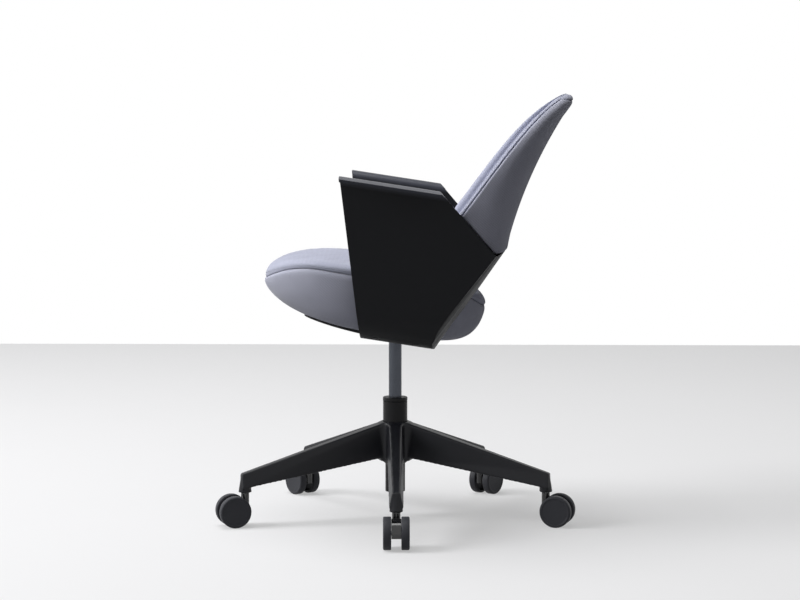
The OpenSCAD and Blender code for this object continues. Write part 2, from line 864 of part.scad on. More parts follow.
module at_caster(i) {
    rotate([0, 0, leg_turn + (i - 1) * leg_step]) translate([stem_circle_r, 0, 0]) children();
}

// A cylinder along Y, centred on the wheel axle
module axle_bar(d, w) {
    translate([caster_trail, 0, axle_h]) rotate([90, 0, 0]) cylinder(d = d, h = w, center = true);
}

module hood() {
    color(nylon_black) difference() {
        union() {
            intersection() {
                axle_bar(2 * hood_r, hood_w);
                translate([caster_trail - 2 * hood_r, -hood_w, hood_edge_h])
                    cube([4 * hood_r, 2 * hood_w, 2 * hood_r]);
            }
            axle_bar(hood_boss_d, hood_w);
            translate([0, 0, hood_edge_h]) cylinder(d = neck_d, h = neck_top_h - hood_edge_h);
        }
        for (side = [-1, 1]) intersection() {
            translate([0, side * hood_w / 2, 0]) axle_bar(2 * (hood_r - hood_wall), hood_w - hood_rib_t);
            translate([neck_d / 2, -hood_w, hood_edge_h + hood_wall])
                cube([2 * hood_r, 2 * hood_w, hood_r]);
            difference() {
                axle_bar(4 * hood_r, 2 * hood_w);
                axle_bar(hood_boss_d, 3 * hood_w);
            }
        }
        axle_bar(axle_d + 2 * run_gap, 2 * hood_w);
        translate([0, 0, stem_low_h - seat_gap]) cylinder(d = stem_d + 2 * run_gap, h = boss_h);
    }
}

module axle() {
    color(steel_bright) axle_bar(axle_d, axle_l);
}

// One wheel, drawn at the positive end of the axle
module wheel() {
    r = wheel_d / 2;
    color(nylon_black) translate([caster_trail, wheel_gap / 2, axle_h]) rotate([-90, 0, 0])
        rotate_extrude() polygon(concat(
            [
                [axle_d / 2 + run_gap, 0],
                [wheel_hub_r, 0],
                [wheel_hub_r, wheel_w - wheel_web - wheel_rim / 2],
                [r - wheel_rim, wheel_w - wheel_web - wheel_rim / 2],
                [r - wheel_rim, 0]
            ],
            arc([r - wheel_edge_r / 2, wheel_edge_r / 2], wheel_edge_r / 2, -90, 0, 2),
            arc([r - wheel_edge_r, wheel_w - wheel_edge_r], wheel_edge_r, 0, 90, 4),
            [
                [r - wheel_rim, wheel_w],
                [r - wheel_rim - wheel_face_step, wheel_w - wheel_face_step],
                [0, wheel_w - wheel_face_step],
                [0, wheel_w - wheel_web + run_gap],
                [axle_d / 2 + run_gap, wheel_w - wheel_web + run_gap]
            ]
        ));
}

// Wrap-around shell

// Outer or inner half section from the middle of the floor to the end of the lip
function shell_path(inset) = concat(
    [[0, inset - floor_drop]],
    arc([floor_half_w, curve_z], floor_r - inset, -90, -side_lean, arc_steps),
    arc(lip_centre, lip_r + inset, 180 - side_lean, 90 - lip_droop, arc_steps),
    [lip_point(lip_r + inset, lip_w)]
);
function lip_point(r, along) = lip_centre + r * [sin(lip_droop), cos(lip_droop)]
    + along * [cos(lip_droop), -sin(lip_droop)];

// The same path closed over the top, wide enough to clear the lip when out is past zero
function shell_outline(inset, out) = let (
    half = concat(shell_path(inset), [
        lip_point(lip_r + shell_t, lip_w),
        lip_point(lip_r + shell_t, lip_w) + [out, -out * tan(lip_droop)],
        [lip_point(lip_r + shell_t, lip_w)[0] + out, 2 * arm_h]
    ])
) concat(half, mirrored(half));

// Side view of the shell: arm, sloping edge, notch, rear corner and floor
function shell_side() = rounded([
    [-floor_front - side_front_run * (arm_top_h + floor_drop), arm_top_h],
    [arm_rear, arm_top_h],
    [notch_y, notch_z],
    [wall_top_y, notch_z + wall_top_rise],
    [wall_top_y, -floor_drop - over],
    [-floor_front + side_front_run * over, -floor_drop - over]
], [arm_tip_r, arm_bend_r, 0, 0, 0, 0]);

// Places children in the frame of the rear wall: Y is its normal, Z climbs the wall
module on_wall() {
    translate([0, crease_low[0], crease_low[1]]) rotate([-wall_slope, 0, 0]) children();
}

function wall_bulge(t) = wall_bulge_low + (wall_bulge_top - wall_bulge_low) * t / wall_len;
function wall_edge(t) = wall_edge_low + (wall_edge_top - wall_edge_low) * t / wall_len;
function wall_n(x, t) = wall_bulge(t) * (1 - pow(x / wall_edge(t), wall_power));

function wall_ring(t, inset, up = 0) = concat(
    [[-wall_half_w, -wall_far, t + up]],
    [for (k = [0:wall_curve_steps]) let (x = wall_half_w * (2 * k / wall_curve_steps - 1))
        [x, wall_n(x, t) - inset, t + up]],
    [[wall_half_w, -wall_far, t + up]]
);

// Everything in front of the rear wall's outer face, or of its inner face when inset
module wall_front(inset) {
    rings = [
        wall_ring(-wall_below, inset),
        wall_ring(wall_reach, inset),
        wall_ring(wall_reach, inset, arm_h)
    ];
    on_wall() loft(rings, [0, -arm_h, -wall_below], [0, -arm_h, wall_reach + arm_h]);
}

module arch_cut() {
    top = (arch_h + floor_drop) / cos(wall_slope);
    mid = top * arch_widest_share;
    outline = rounded([
        [-arch_low_half_w, -over - shell_t],
        [-arch_half_w, mid],
        [-arch_top_half_w, top],
        [arch_top_half_w, top],
        [arch_half_w, mid],
        [arch_low_half_w, -over - shell_t]
    ], [0, arch_low_r, arch_top_r, arch_top_r, arch_low_r, 0]);
    on_wall() translate([0, wall_bulge_low + 2 * over, 0]) rotate([90, 0, 0])
        linear_extrude(height = wall_bulge_low + 4 * over) polygon(outline);
}

// Places children on a bolt's axis, Z pointing out through the shell's outer face
module at_bolt(y) {
    translate([floor_half_w, y, curve_z]) rotate([0, 180 - bolt_angle, 0])
        translate([0, 0, floor_r]) children();
}

module each_bolt() {
    both_sides() {
        at_bolt(bolt_front_y) children();
        at_bolt(bolt_rear_y) children();
    }
}

module wrap_shell() {
    color(shell_black) reclined() difference() {
        union() {
            difference() {
                intersection() {
                    front_extrude(-arm_front - 4 * over, wall_top_y + 2 * over)
                        polygon(shell_outline(0, 0));
                    side_extrude(2 * wall_half_w) polygon(shell_side());
                    wall_front(0);
                }
                intersection() {
                    front_extrude(-arm_front - 6 * over, wall_top_y + 4 * over)
                        polygon(shell_outline(shell_t, over));
                    wall_front(shell_t);
                }
            }
            each_bolt() translate([0, 0, -shell_t - pad_h]) cylinder(d = pad_d, h = pad_h + bond);
            each_strap_screw_low() cylinder(d = strap_boss_d, h = strap_boss_h + bond);
        }
        each_strap_screw_low() {
            translate([0, 0, -over]) cylinder(d = screw_d + 2 * run_gap, h = shell_t + 4 * over);
            translate([0, 0, strap_boss_h + shell_t - seat_gap])
                cylinder(d = screw_head_d + 2 * seat_gap, h = 2 * over);
        }
        each_bolt() {
            translate([0, 0, -shell_t - pad_h - over])
                cylinder(d = bolt_d + 2 * seat_gap, h = shell_t + pad_h + 2 * over);
            translate([0, 0, -recess_depth]) cylinder(d = recess_d, h = recess_depth + over);
        }
        arch_cut();
        translate([0, 0, -floor_drop - over])
            cylinder(d = neck_hole_d, h = shell_t + 2 * over);
        translate([lever_drop_x - lever_slot_half_l + lever_t, lever_y - lever_w, -floor_drop - over])
            cube([2 * lever_slot_half_l, 2 * lever_w + lever_room, shell_t + 2 * over]);
    }
}

// Seat carrier: plate, two side arms and two ears that hang on the tilt pins

module seat_carrier() {
    along = foot_half_w * [cos(bolt_angle), sin(bolt_angle)];
    under = [[0, carrier_h], [arm_knee_x, carrier_h], arm_foot - along, arm_foot + along];
    arm = concat(under, [
        under[3] + carrier_t * [-sin(bolt_angle), cos(bolt_angle)],
        mitred(under[1], under[2], under[3], carrier_t),
        mitred(under[0], under[1], under[2], carrier_t),
        [0, carrier_h + carrier_t]
    ]);
    color(steel_dark) reclined() difference() {
        union() {
            front_extrude(-arm_plate_front, arm_plate_rear)
                polygon(concat(arm, mirrored(arm)));
            both_sides() translate([ear_in, 0, 0]) rotate([90, 0, 90]) linear_extrude(height = ear_t)
                union() {
                    circle(r = ear_r);
                    polygon([
                        [-ear_r, 0],
                        [ear_r, 0],
                        [ear_top_half, carrier_h + bond],
                        [-ear_top_half, carrier_h + bond]
                    ]);
                }
        }
        both_sides() bar_x(ear_in - over, ear_in + ear_t + over, pin_d + 2 * run_gap);
        each_bolt() translate([0, 0, -shell_t - pad_h - carrier_t - 2 * over])
            cylinder(d = bolt_d + 2 * seat_gap, h = carrier_t + 3 * over);
        each_board_screw() translate([0, 0, board_z - carrier_t - over])
            cylinder(d = screw_d + 2 * seat_gap, h = carrier_t + 2 * over);
        both_sides() translate([window_x, lever_y - lever_w / 2 - window_room, -floor_drop])
            cube([window_w, lever_w + 2 * window_room, floor_drop + carrier_h]);
    }
}

module each_board_screw() {
    for (x = [-screw_x, screw_x]) for (y = [-screw_y, screw_y]) translate([x, y, 0]) children();
}

module carrier_bolts() {
    color(steel_bright) reclined() each_bolt() {
        translate([0, 0, -recess_depth + seat_gap / 2]) cylinder(d = bolt_head_d, h = bolt_head_h);
        translate([0, 0, -shell_t - pad_h - carrier_t - nut_h - bolt_past_nut])
            cylinder(d = bolt_d, h = shell_t + pad_h + carrier_t + nut_h + bolt_past_nut
                - recess_depth + bond);
    }
}

module carrier_nuts() {
    color(steel_bright) reclined() each_bolt()
        translate([0, 0, -shell_t - pad_h - carrier_t - nut_h - 2 * seat_gap]) difference() {
            cylinder(d = nut_d, h = nut_h, $fn = 6);
            translate([0, 0, -over]) cylinder(d = bolt_d + 2 * run_gap, h = nut_h + 2 * over);
        }
}

module tilt_pins() {
    color(steel_bright) translate([0, 0, tilt_h]) both_sides()
        bar_x(pin_start + seat_gap, pin_start + pin_l, pin_d);
}

module pin_rings() {
    from = ear_in + ear_t + seat_gap;
    color(steel_dark) translate([0, 0, tilt_h]) both_sides() difference() {
        bar_x(from, from + pin_ring_t, pin_d + 2 * pin_ring_w);
        bar_x(from - over, from + over, pin_d + 2 * run_gap);
    }
}

// Seat

function signed_pow(v, p) = v < 0 ? -pow(-v, p) : pow(v, p);
// Plan outline of the seat at angle a, scaled about its middle by the share q
function seat_plan(a, q) = [
    seat_half_w * q * signed_pow(cos(a), 2 / outline_power),
    seat_mid_y + seat_half_l * q * signed_pow(sin(a), 2 / outline_power)
];
function seam_z(y) = seam_h
    - nose_drop * pow(max(0, (nose_start_y - y) / (nose_start_y + seat_front)), seam_power)
    - tail_drop * pow(max(0, (y - tail_start_y) / (seat_rear - tail_start_y)), seam_power);
function crown_z(a, q) = let (
    edge = seam_z(seat_plan(a, 1)[1]),
    y = seat_plan(a, q)[1],
    fall = rear_fall * pow(max(0, (y - seat_mid_y) / seat_half_l), 2)
) edge + (crown_h - fall - edge) * pow(1 - pow(q, crown_power), crown_root)
    - seat_dish * pow(1 - q * q, 2);
function bowl_power(a) = nose_power + (tail_power - nose_power) * (1 + sin(a)) / 2;
function bowl_z(a, q) = let (edge = seam_z(seat_plan(a, 1)[1]))
    edge - (edge - seat_low_z) * pow(1 - pow(q, bowl_power(a)), bowl_root);

function seat_ring(q, level, lift) = [for (i = [0:seat_steps - 1]) let (
    a = 360 * i / seat_steps,
    p = seat_plan(a, q),
    z = level == "crown" ? crown_z(a, q) : level == "bowl" ? bowl_z(a, q)
        : level == "seam" ? seam_z(seat_plan(a, 1)[1]) : 0
) [p[0], p[1], z + lift]];

module seat_cushion() {
    color(fabric_light) reclined() loft(
        concat(
            [for (q = crown_shares) seat_ring(q, "crown", 0)],
            [seat_ring(1, "seam", 2 * seam_gap)],
            [seat_ring(seam_in_share, "seam", seam_gap)],
            [seat_ring(plug_share, "seam", seam_gap)],
            [seat_ring(plug_share, "flat", cushion_z)]
        ),
        [0, seat_mid_y, crown_h - seat_dish],
        [0, seat_mid_y, cushion_z]
    );
}

module seat_lower_pad() {
    cavity = rounded([
        [-cavity_half_w, -cavity_front],
        [cavity_half_w, -cavity_front],
        [cavity_half_w, cavity_rear],
        [-cavity_half_w, cavity_rear]
    ], [cavity_r, cavity_r, cavity_r, cavity_r]);
    color(fabric_dark) reclined() difference() {
        loft(
            concat(
                [seat_ring(pocket_share, "flat", board_z - seat_gap)],
                [seat_ring(pocket_share, "seam", -seam_gap)],
                [seat_ring(1, "seam", -seam_gap)],
                [for (q = bowl_shares) seat_ring(q, "bowl", 0)]
            ),
            [0, seat_mid_y, board_z - seat_gap],
            [0, seat_mid_y, seat_low_z]
        );
        translate([0, 0, seat_low_z - over])
            linear_extrude(height = board_z - seat_low_z + 2 * over) polygon(cavity);
    }
}

module seat_board() {
    outline = [for (i = [0:seat_steps - 1]) seat_plan(360 * i / seat_steps, board_share)];
    color(board_brown) reclined() difference() {
        translate([0, 0, board_z]) linear_extrude(height = board_t) polygon(outline);
        each_board_screw() translate([0, 0, board_z - over])
            cylinder(d = screw_d + 2 * run_gap, h = board_t + over - screw_tip_room);
    }
}

module board_screws() {
    color(steel_bright) reclined() each_board_screw() {
        translate([0, 0, carrier_h - screw_head_h - seat_gap])
            cylinder(d = screw_head_d, h = screw_head_h);
        translate([0, 0, carrier_h - screw_head_h])
            cylinder(d = screw_d, h = screw_head_h + carrier_t + board_t - 2 * screw_tip_room);
    }
}

// Plastic tongue under the front of the seat, following the pad's curve along the middle
module seat_tray() {
    start = -floor_front - side_front_run * shell_t;
    ys = [for (k = [0:tray_steps]) start - seat_gap - (tray_front + start) * k / tray_steps];
    function pad_under(y) = let (q = (seat_mid_y - y) / seat_half_l) bowl_z(-90, q) - seat_gap;
    strip = concat(
        [for (y = ys) [y, pad_under(y)]],
        [for (k = [tray_steps:-1:0])
            [ys[k], pad_under(ys[k]) - tray_t * (1 - tray_thin_share * k / tray_steps)]]
    );
    outline = rounded([
        [-tray_half_w, over],
        [-tray_half_w, start],
        [-tray_tip_half_w, -tray_front],
        [tray_tip_half_w, -tray_front],
        [tray_half_w, start],
        [tray_half_w, over]
    ], [0, tray_root_r, tray_tip_r, tray_tip_r, tray_root_r, 0]);
    color(shell_black) reclined() intersection() {
        side_extrude(2 * tray_half_w) polygon(strip);
        translate([0, 0, -floor_drop - over]) linear_extrude(height = seam_h) polygon(outline);
    }
}

// Back: rings stacked by height, each a crescent seen from above

function back_s(z) = (z - back_foot_h) / back_rise;
function back_rear(s) = back_rear_y + back_rear_rise * s + back_rear_curve * s * s;
function back_side(s) = back_wing_y + back_edge + back_wing_rise * s
    + back_wing_curve * pow(max(0, s), back_wing_power);
function back_full(s) = back_half_w + back_flare * s - back_draw_in * s * s;
function back_half(s) = back_full(s) * pow(1 - pow(max(0, s), top_power), top_root);
function back_depth(s) = back_thick + lumbar_extra * pow(1 - s, 3) - top_thin * pow(max(0, s), 3);
// Rounds the top: one below the roll, falling to zero at the very top
function back_roll(s) = sqrt(1 - pow(max(0, (s - roll_share) / (1 - roll_share)), 2));
function back_mid(s) = back_rear(s) - back_depth(s) / 2;
function back_power(s) = corner_power + corner_foot_power * pow(1 - s, 2);

// Point at angle a on half a superellipse: from the middle at zero to a wing at 90 degrees
function crescent(a, half, mid, side, power) = [
    half * signed_pow(sin(a), 2 / power),
    side + (mid - side) * pow(max(0, cos(a)), 2 / power)
];

// Outer line at share s of the height, moved inwards by d
function back_outer(s, a, d) = crescent(a, max(back_half(s) - d, shell_clear),
    back_mid(s) + (back_depth(s) / 2 - d) * back_roll(s), back_side(s), back_power(s));
function back_inner(s, a) = crescent(a, back_half(s) * (1 - 2 * back_edge / back_full(s)),
    back_mid(s) - back_depth(s) / 2 * back_roll(s), back_side(s), inner_power);

// Bull nose of a wing: at zero on the outer line, at 180 degrees on the inner line
function back_tip(s, b, side) = let (
    p = back_outer(s, 90, 0),
    q = back_inner(s, 90),
    half = (p - q) / 2,
    out = [half[1], -half[0]],
    point = (p + q) / 2 + half * cos(b) + out * sin(b)
) [side * point[0], point[1]];

function with_z(points, z) = [for (p = points) [p[0], p[1], z]];
function back_angles() = [for (k = [-back_steps:back_steps]) 90 * k / back_steps];

// Ring of the rear cover at height z: outer line, wing edge, then the inner line
function cover_ring(z) = let (s = back_s(z)) with_z(concat(
    [for (a = back_angles()) back_outer(s, a, 0)],
    [back_tip(s, tip_angle / 2, 1), back_tip(s, tip_angle, 1)],
    [for (a = back_angles()) back_outer(s, -a, cover_t)],
    [back_tip(s, tip_angle, -1), back_tip(s, tip_angle / 2, -1)]
), z);
function pad_ring(z) = let (s = back_s(z)) with_z(concat(
    [for (a = back_angles()) back_outer(s, a, cover_t + 3 * seam_gap)],
    [for (b = pad_tip_angles) back_tip(s, b, 1)],
    [for (a = back_angles()) back_inner(s, -a)],
    [for (k = [len(pad_tip_angles) - 1:-1:0]) back_tip(s, pad_tip_angles[k], -1)]
), z);

// Everything above the sloping arm edge, where the rear cover stands
module above_edge() {
    run = [notch_y - arm_rear, notch_z - arm_top_h];
    lift = seat_gap / cos(atan2(-run[1], run[0]));
    side_extrude(3 * back_half_w) polygon([
        [arm_rear - run[0], arm_top_h - run[1] + lift],
        [notch_y, notch_z + lift],
        [wall_top_y, notch_z + wall_top_rise + lift],
        [wall_top_y + back_rise, notch_z + wall_top_rise + lift],
        [wall_top_y + back_rise, notch_z + 2 * back_rise],
        [arm_rear - run[0], notch_z + 2 * back_rise]
    ]);
}

module back_cover() {
    levels = [for (q = back_level_shares) back_foot_h + back_rise * q];
    color(fabric_dark) reclined() intersection() {
        loft(
            [for (z = levels) cover_ring(z)],
            [0, back_rear(0) - cover_t / 2, levels[0]],
            [0, back_mid(1) + top_offset, back_foot_h + back_rise - top_inset]
        );
        above_edge();
    }
}

module back_pad() {
    levels = [for (q = back_level_shares) back_foot_h + back_rise * q];
    color(fabric_light) reclined() difference() {
        intersection() {
            loft(
                [for (z = concat([pad_low - pad_foot_h, pad_low], levels)) pad_ring(z)],
                [0, back_mid(0), pad_low - pad_foot_h],
                [0, back_mid(1) - top_offset, back_foot_h + back_rise]
            );
            union() {
                above_edge();
                intersection() {
                    wall_front(shell_t + wall_room);
                    front_extrude(-arm_front, wall_top_y * 2)
                        polygon(shell_outline(shell_t + wall_room, over));
                    translate([-wall_far, -wall_far, pad_low]) cube(2 * wall_far);
                }
            }
        }
        board_loft(2 * seat_gap, 2 * board_room, board_angle + board_angle_room);
        strap_pocket();
    }
}

// Curved board between the cover and the pad, grown by a gap and by a length behind it,
// reaching to a given angle on the crescent
module board_loft(gap, behind, reach) {
    zs = [for (k = [0:board_levels])
        board_low - gap + (board_high - board_low + 2 * gap) * k / board_levels];
    function angles() = [for (k = [-board_steps:board_steps]) reach * k / board_steps];
    rings = [for (z = zs) let (s = back_s(z)) with_z(concat(
        [for (a = angles()) back_outer(s, a, cover_t + board_room - behind)],
        [for (a = angles()) back_outer(s, -a, cover_t + board_room + back_board_t + gap)]
    ), z)];
    strip_loft(rings);
}

module back_board() {
    color(board_brown) reclined() difference() {
        board_loft(0, 0, board_angle);
        each_strap_screw_top() cylinder(d = screw_d + 2 * run_gap, h = 4 * over, center = true);
    }
}

// Two steel straps that hold the back board on the rear wall
strap_n = wall_n(strap_x + strap_w / 2, strap_screw_t) - shell_t - strap_boss_h;

function wall_point(n, t) = [
    crease_low[0] + n * cos(wall_slope) + t * sin(wall_slope),
    crease_low[1] - n * sin(wall_slope) + t * cos(wall_slope)
];
function board_front_y(z) = back_outer(back_s(z), 0, cover_t + board_room + back_board_t)[1]
    - seat_gap - board_sag;

// Side view of a strap, grown by room on every side
function strap_line(room, front, rear) = let (
    low = wall_point(strap_n, strap_low_t - room),
    knee_t = (strap_knee_z - wall_point(strap_n, 0)[1]) / cos(wall_slope),
    knee = wall_point(strap_n, knee_t),
    waist = [board_front_y(board_low), board_low],
    top = [board_front_y(strap_top_z), strap_top_z + room]
) [
    low + [rear, 0], knee + [rear, 0], waist + [rear, 0], top + [rear, 0],
    top - [front, 0], waist - [front, 0], knee - [front, 0], low - [front, 0]
];

// Room in the pad for the straps, their screws and the bosses behind them
module strap_pocket() {
    side_extrude(strap_w + 2 * strap_x + 2 * strap_room)
        polygon(strap_line(strap_room, strap_t + screw_head_h + strap_screw_past, strap_open));
}

module each_strap_screw_low() {
    for (x = [-strap_x, strap_x]) translate([x, 0, 0]) on_wall()
        translate([0, strap_n, strap_screw_t]) rotate([-90, 0, 0]) children();
}

module each_strap_screw_top() {
    run = [board_front_y(strap_top_z) - board_front_y(board_low), strap_top_z - board_low];
    share = (strap_screw_z - board_low) / run[1];
    for (x = [-strap_x, strap_x])
        translate([x, board_front_y(board_low) + run[0] * share, strap_screw_z])
            rotate([-90 - atan(run[0] / run[1]), 0, 0]) children();
}

module back_straps() {
    color(steel_dark) reclined() difference() {
        for (x = [-strap_x, strap_x]) translate([x, 0, 0])
            side_extrude(strap_w) polygon(strap_line(0, strap_t, 0));
        each_strap_screw_low() cylinder(d = screw_d + 2 * run_gap, h = 4 * over, center = true);
        each_strap_screw_top() cylinder(d = screw_d + 2 * run_gap, h = 4 * over, center = true);
    }
}

module strap_screws() {
    color(steel_bright) reclined() {
        each_strap_screw_low() {
            translate([0, 0, strap_boss_h + shell_t]) cylinder(d = screw_head_d, h = screw_head_h);
            translate([0, 0, -strap_t - strap_screw_past])
                cylinder(d = screw_d, h = strap_t + strap_screw_past + strap_boss_h + shell_t + bond);
        }
        each_strap_screw_top() {
            translate([0, 0, -strap_t - screw_head_h]) cylinder(d = screw_head_d, h = screw_head_h);
            translate([0, 0, -strap_t - screw_head_h])
                cylinder(d = screw_d, h = strap_t + screw_head_h + back_board_t - screw_tip_room);
        }
    }
}

base_star();
column_tube();
guide_ring();
bearing_race();
stem_sockets();
caster_stems();
piston_rod();
piston();
buffer_ring();
bearing_balls();
rod_clip();
gas_cylinder();
release_button();
mechanism_housing();
rubber_springs();
stop_bumpers();
lever_pin();
lift_lever();
lever_handle();
for (i = [1:LEGS]) {
    at_caster(i) hood();
    at_caster(i) axle();
    at_caster(i) wheel();
    at_caster(i) mirror([0, 1, 0]) wheel();
}
wrap_shell();
seat_tray();
seat_carrier();
carrier_bolts();
carrier_nuts();
tilt_pins();
pin_rings();
seat_board();
board_screws();
seat_lower_pad();
seat_cushion();
back_board();
back_straps();
strap_screws();
back_pad();
back_cover();
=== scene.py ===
# %% [markdown]
# # An office chair, dressed for its picture
# The chair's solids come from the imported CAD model, and this script gives them their looks.
# It goes through the chair as a maker would: the frame, the moulded shell, the padded seat and
# back with their seams, the five-legged base and its casters, and last the studio.

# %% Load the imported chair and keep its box
import json
import math
import bmesh
import bpy
import numpy as np
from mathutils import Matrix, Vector
from mathutils.bvhtree import BVHTree


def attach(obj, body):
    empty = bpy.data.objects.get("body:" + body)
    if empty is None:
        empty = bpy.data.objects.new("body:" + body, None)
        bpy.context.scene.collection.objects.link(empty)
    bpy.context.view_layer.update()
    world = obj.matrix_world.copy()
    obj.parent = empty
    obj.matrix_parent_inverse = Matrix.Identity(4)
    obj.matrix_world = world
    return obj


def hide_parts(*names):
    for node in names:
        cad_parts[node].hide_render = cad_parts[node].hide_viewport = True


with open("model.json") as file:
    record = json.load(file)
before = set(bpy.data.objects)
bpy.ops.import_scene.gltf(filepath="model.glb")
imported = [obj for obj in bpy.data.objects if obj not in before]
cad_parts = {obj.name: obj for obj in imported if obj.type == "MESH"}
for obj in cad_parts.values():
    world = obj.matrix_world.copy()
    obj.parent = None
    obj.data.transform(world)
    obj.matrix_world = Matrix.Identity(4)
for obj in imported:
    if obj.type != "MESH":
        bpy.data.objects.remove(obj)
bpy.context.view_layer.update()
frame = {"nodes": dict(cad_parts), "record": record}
BODY_OF = {n: b for b, members in frame["record"]["behaviour"]["bodies"].items() for n in members}

# %% [markdown]
# ## Upright and leaned back
# The shell, the seat and the back rock together on one axis. They are easiest to draw upright,
# in millimetres from that axis, so one small function leans a drawn point back by the pictured
# angle and sets it at its height above the floor, in metres.

# %% The lean
AXIS_HEIGHT = 412.0
LEAN = math.radians(8.68)


def lean_back(points):
    """Turns points about the X axis by the lean, lifts them to the axis and makes them metres."""
    x, y, z = np.moveaxis(np.asarray(points, float), -1, 0)
    c, s = math.cos(LEAN), math.sin(LEAN)
    return np.stack([x, y * c + z * s, AXIS_HEIGHT - y * s + z * c], -1) / 1000


print("a point 100 mm behind the axis lands at", lean_back([0, 100, 0]).round(4))

# %% [markdown]
# ## From arrays to a mesh
# Every new surface here is a grid of points worked out as whole arrays. The grid's faces are
# four-sided, which subdivision and the cloth solver both like, and the arrays go into Blender's
# mesh in one call each.

# %% Grid helpers


def grid_quads(rows, columns, closed=False):
    """Corner numbers of the quads between neighbouring rows and columns of a grid."""
    i, j = np.meshgrid(np.arange(rows - 1), np.arange(columns if closed else columns - 1), indexing="ij")
    a, b = i * columns + j, i * columns + (j + 1) % columns
    return np.stack([a, b, b + columns, a + columns], -1).reshape(-1, 4)


def make_piece(name, points, faces, smooth=True):
    """Puts points, in metres, and faces of three or four corners into a new object."""
    mesh = bpy.data.meshes.new(name)
    mesh.from_pydata(np.asarray(points, float).reshape(-1, 3).tolist(), [], [list(f) for f in faces])
    mesh.validate()
    mesh.polygons.foreach_set("use_smooth", np.full(len(mesh.polygons), smooth))
    piece = bpy.data.objects.new(name, mesh)
    bpy.context.scene.collection.objects.link(piece)
    return piece


def close_mesh(piece, distance=1e-5):
    """Merges doubled points, unless no distance is given, and points every face outwards."""
    edit = bmesh.new()
    edit.from_mesh(piece.data)
    if distance:
        bmesh.ops.remove_doubles(edit, verts=edit.verts, dist=distance)
    bmesh.ops.recalc_face_normals(edit, faces=edit.faces)
    loose = sum(1 for e in edit.edges if len(e.link_faces) != 2)
    edit.to_mesh(piece.data)
    edit.free()
    print(piece.name, "points", len(piece.data.vertices), "open edges", loose)
    return piece


def read_points(mesh):
    """The points of a mesh as an array."""
    flat = np.zeros(len(mesh.vertices) * 3, np.float32)
    mesh.vertices.foreach_get("co", flat)
    return flat.reshape(-1, 3).astype(float)


def write_points(mesh, points):
    """Puts an array back as the points of a mesh."""
    mesh.vertices.foreach_set("co", np.asarray(points, np.float32).ravel())
    mesh.update()


def read_normals(mesh):
    """The normals at the points of a mesh as an array."""
    flat = np.zeros(len(mesh.vertices) * 3, np.float32)
    mesh.vertices.foreach_get("normal", flat)
    return flat.reshape(-1, 3).astype(float)


def settle(piece):
    """Makes what the modifiers show the piece's own mesh, and takes the modifiers off."""
    worked = piece.evaluated_get(bpy.context.evaluated_depsgraph_get())
    mesh = bpy.data.meshes.new_from_object(worked)
    piece.modifiers.clear()
    old, piece.data = piece.data, mesh
    bpy.data.meshes.remove(old)
    mesh.name = piece.name
    return mesh


print("a grid of 3 rows and 4 columns has", len(grid_quads(3, 4)), "quads")

# %% [markdown]
# ## Lines and shares
# Seams and stitches are lines of points. They need the distance from a surface to a line, new
# points at even steps, and shares that cut a curve into equal lengths for even cells.

# %% Lines and shares


def distance_to(points, line, chunk=4000):
    """Distance of every point to the nearest sample of a line, in chunks to save memory."""
    out = np.empty(len(points))
    for start in range(0, len(points), chunk):
        part = points[start:start + chunk, None, :] - line[None]
        out[start:start + chunk] = np.sqrt((part**2).sum(-1).min(-1))
    return out


def resample(line, step):
    """Walks a line of points and puts a new point at every step of its length."""
    line = np.asarray(line, float)
    run = np.concatenate([[0], np.cumsum(np.linalg.norm(np.diff(line, axis=0), axis=1))])
    at = np.linspace(0, run[-1], max(2, int(run[-1] / step)))
    return np.stack([np.interp(at, run, line[:, k]) for k in range(3)], -1)


def even_shares(curve, count):
    """Shares from 0 to 1 that cut a curve, given as a function of the share, into equal lengths."""
    fine = np.linspace(0, 1, 2001)
    points = np.stack(curve(fine), -1)
    run = np.concatenate([[0], np.cumsum(np.linalg.norm(np.diff(points, axis=0), axis=1))])
    return np.interp(np.linspace(0, run[-1], count), run, fine)


def signed_power(v, p):
    """Raises the size of v to p and keeps its sign."""
    return np.sign(v) * np.abs(v)**p


# %% [markdown]
# ## Materials
# A material is a small network of nodes. Three finishes cover most of the chair: woven cloth,
# moulded plastic with a fine grain, and steel. The cloth's weave is laid on from three sides by
# the direction in which the surface faces, so that it keeps its scale on every curve.

# %% Node helpers


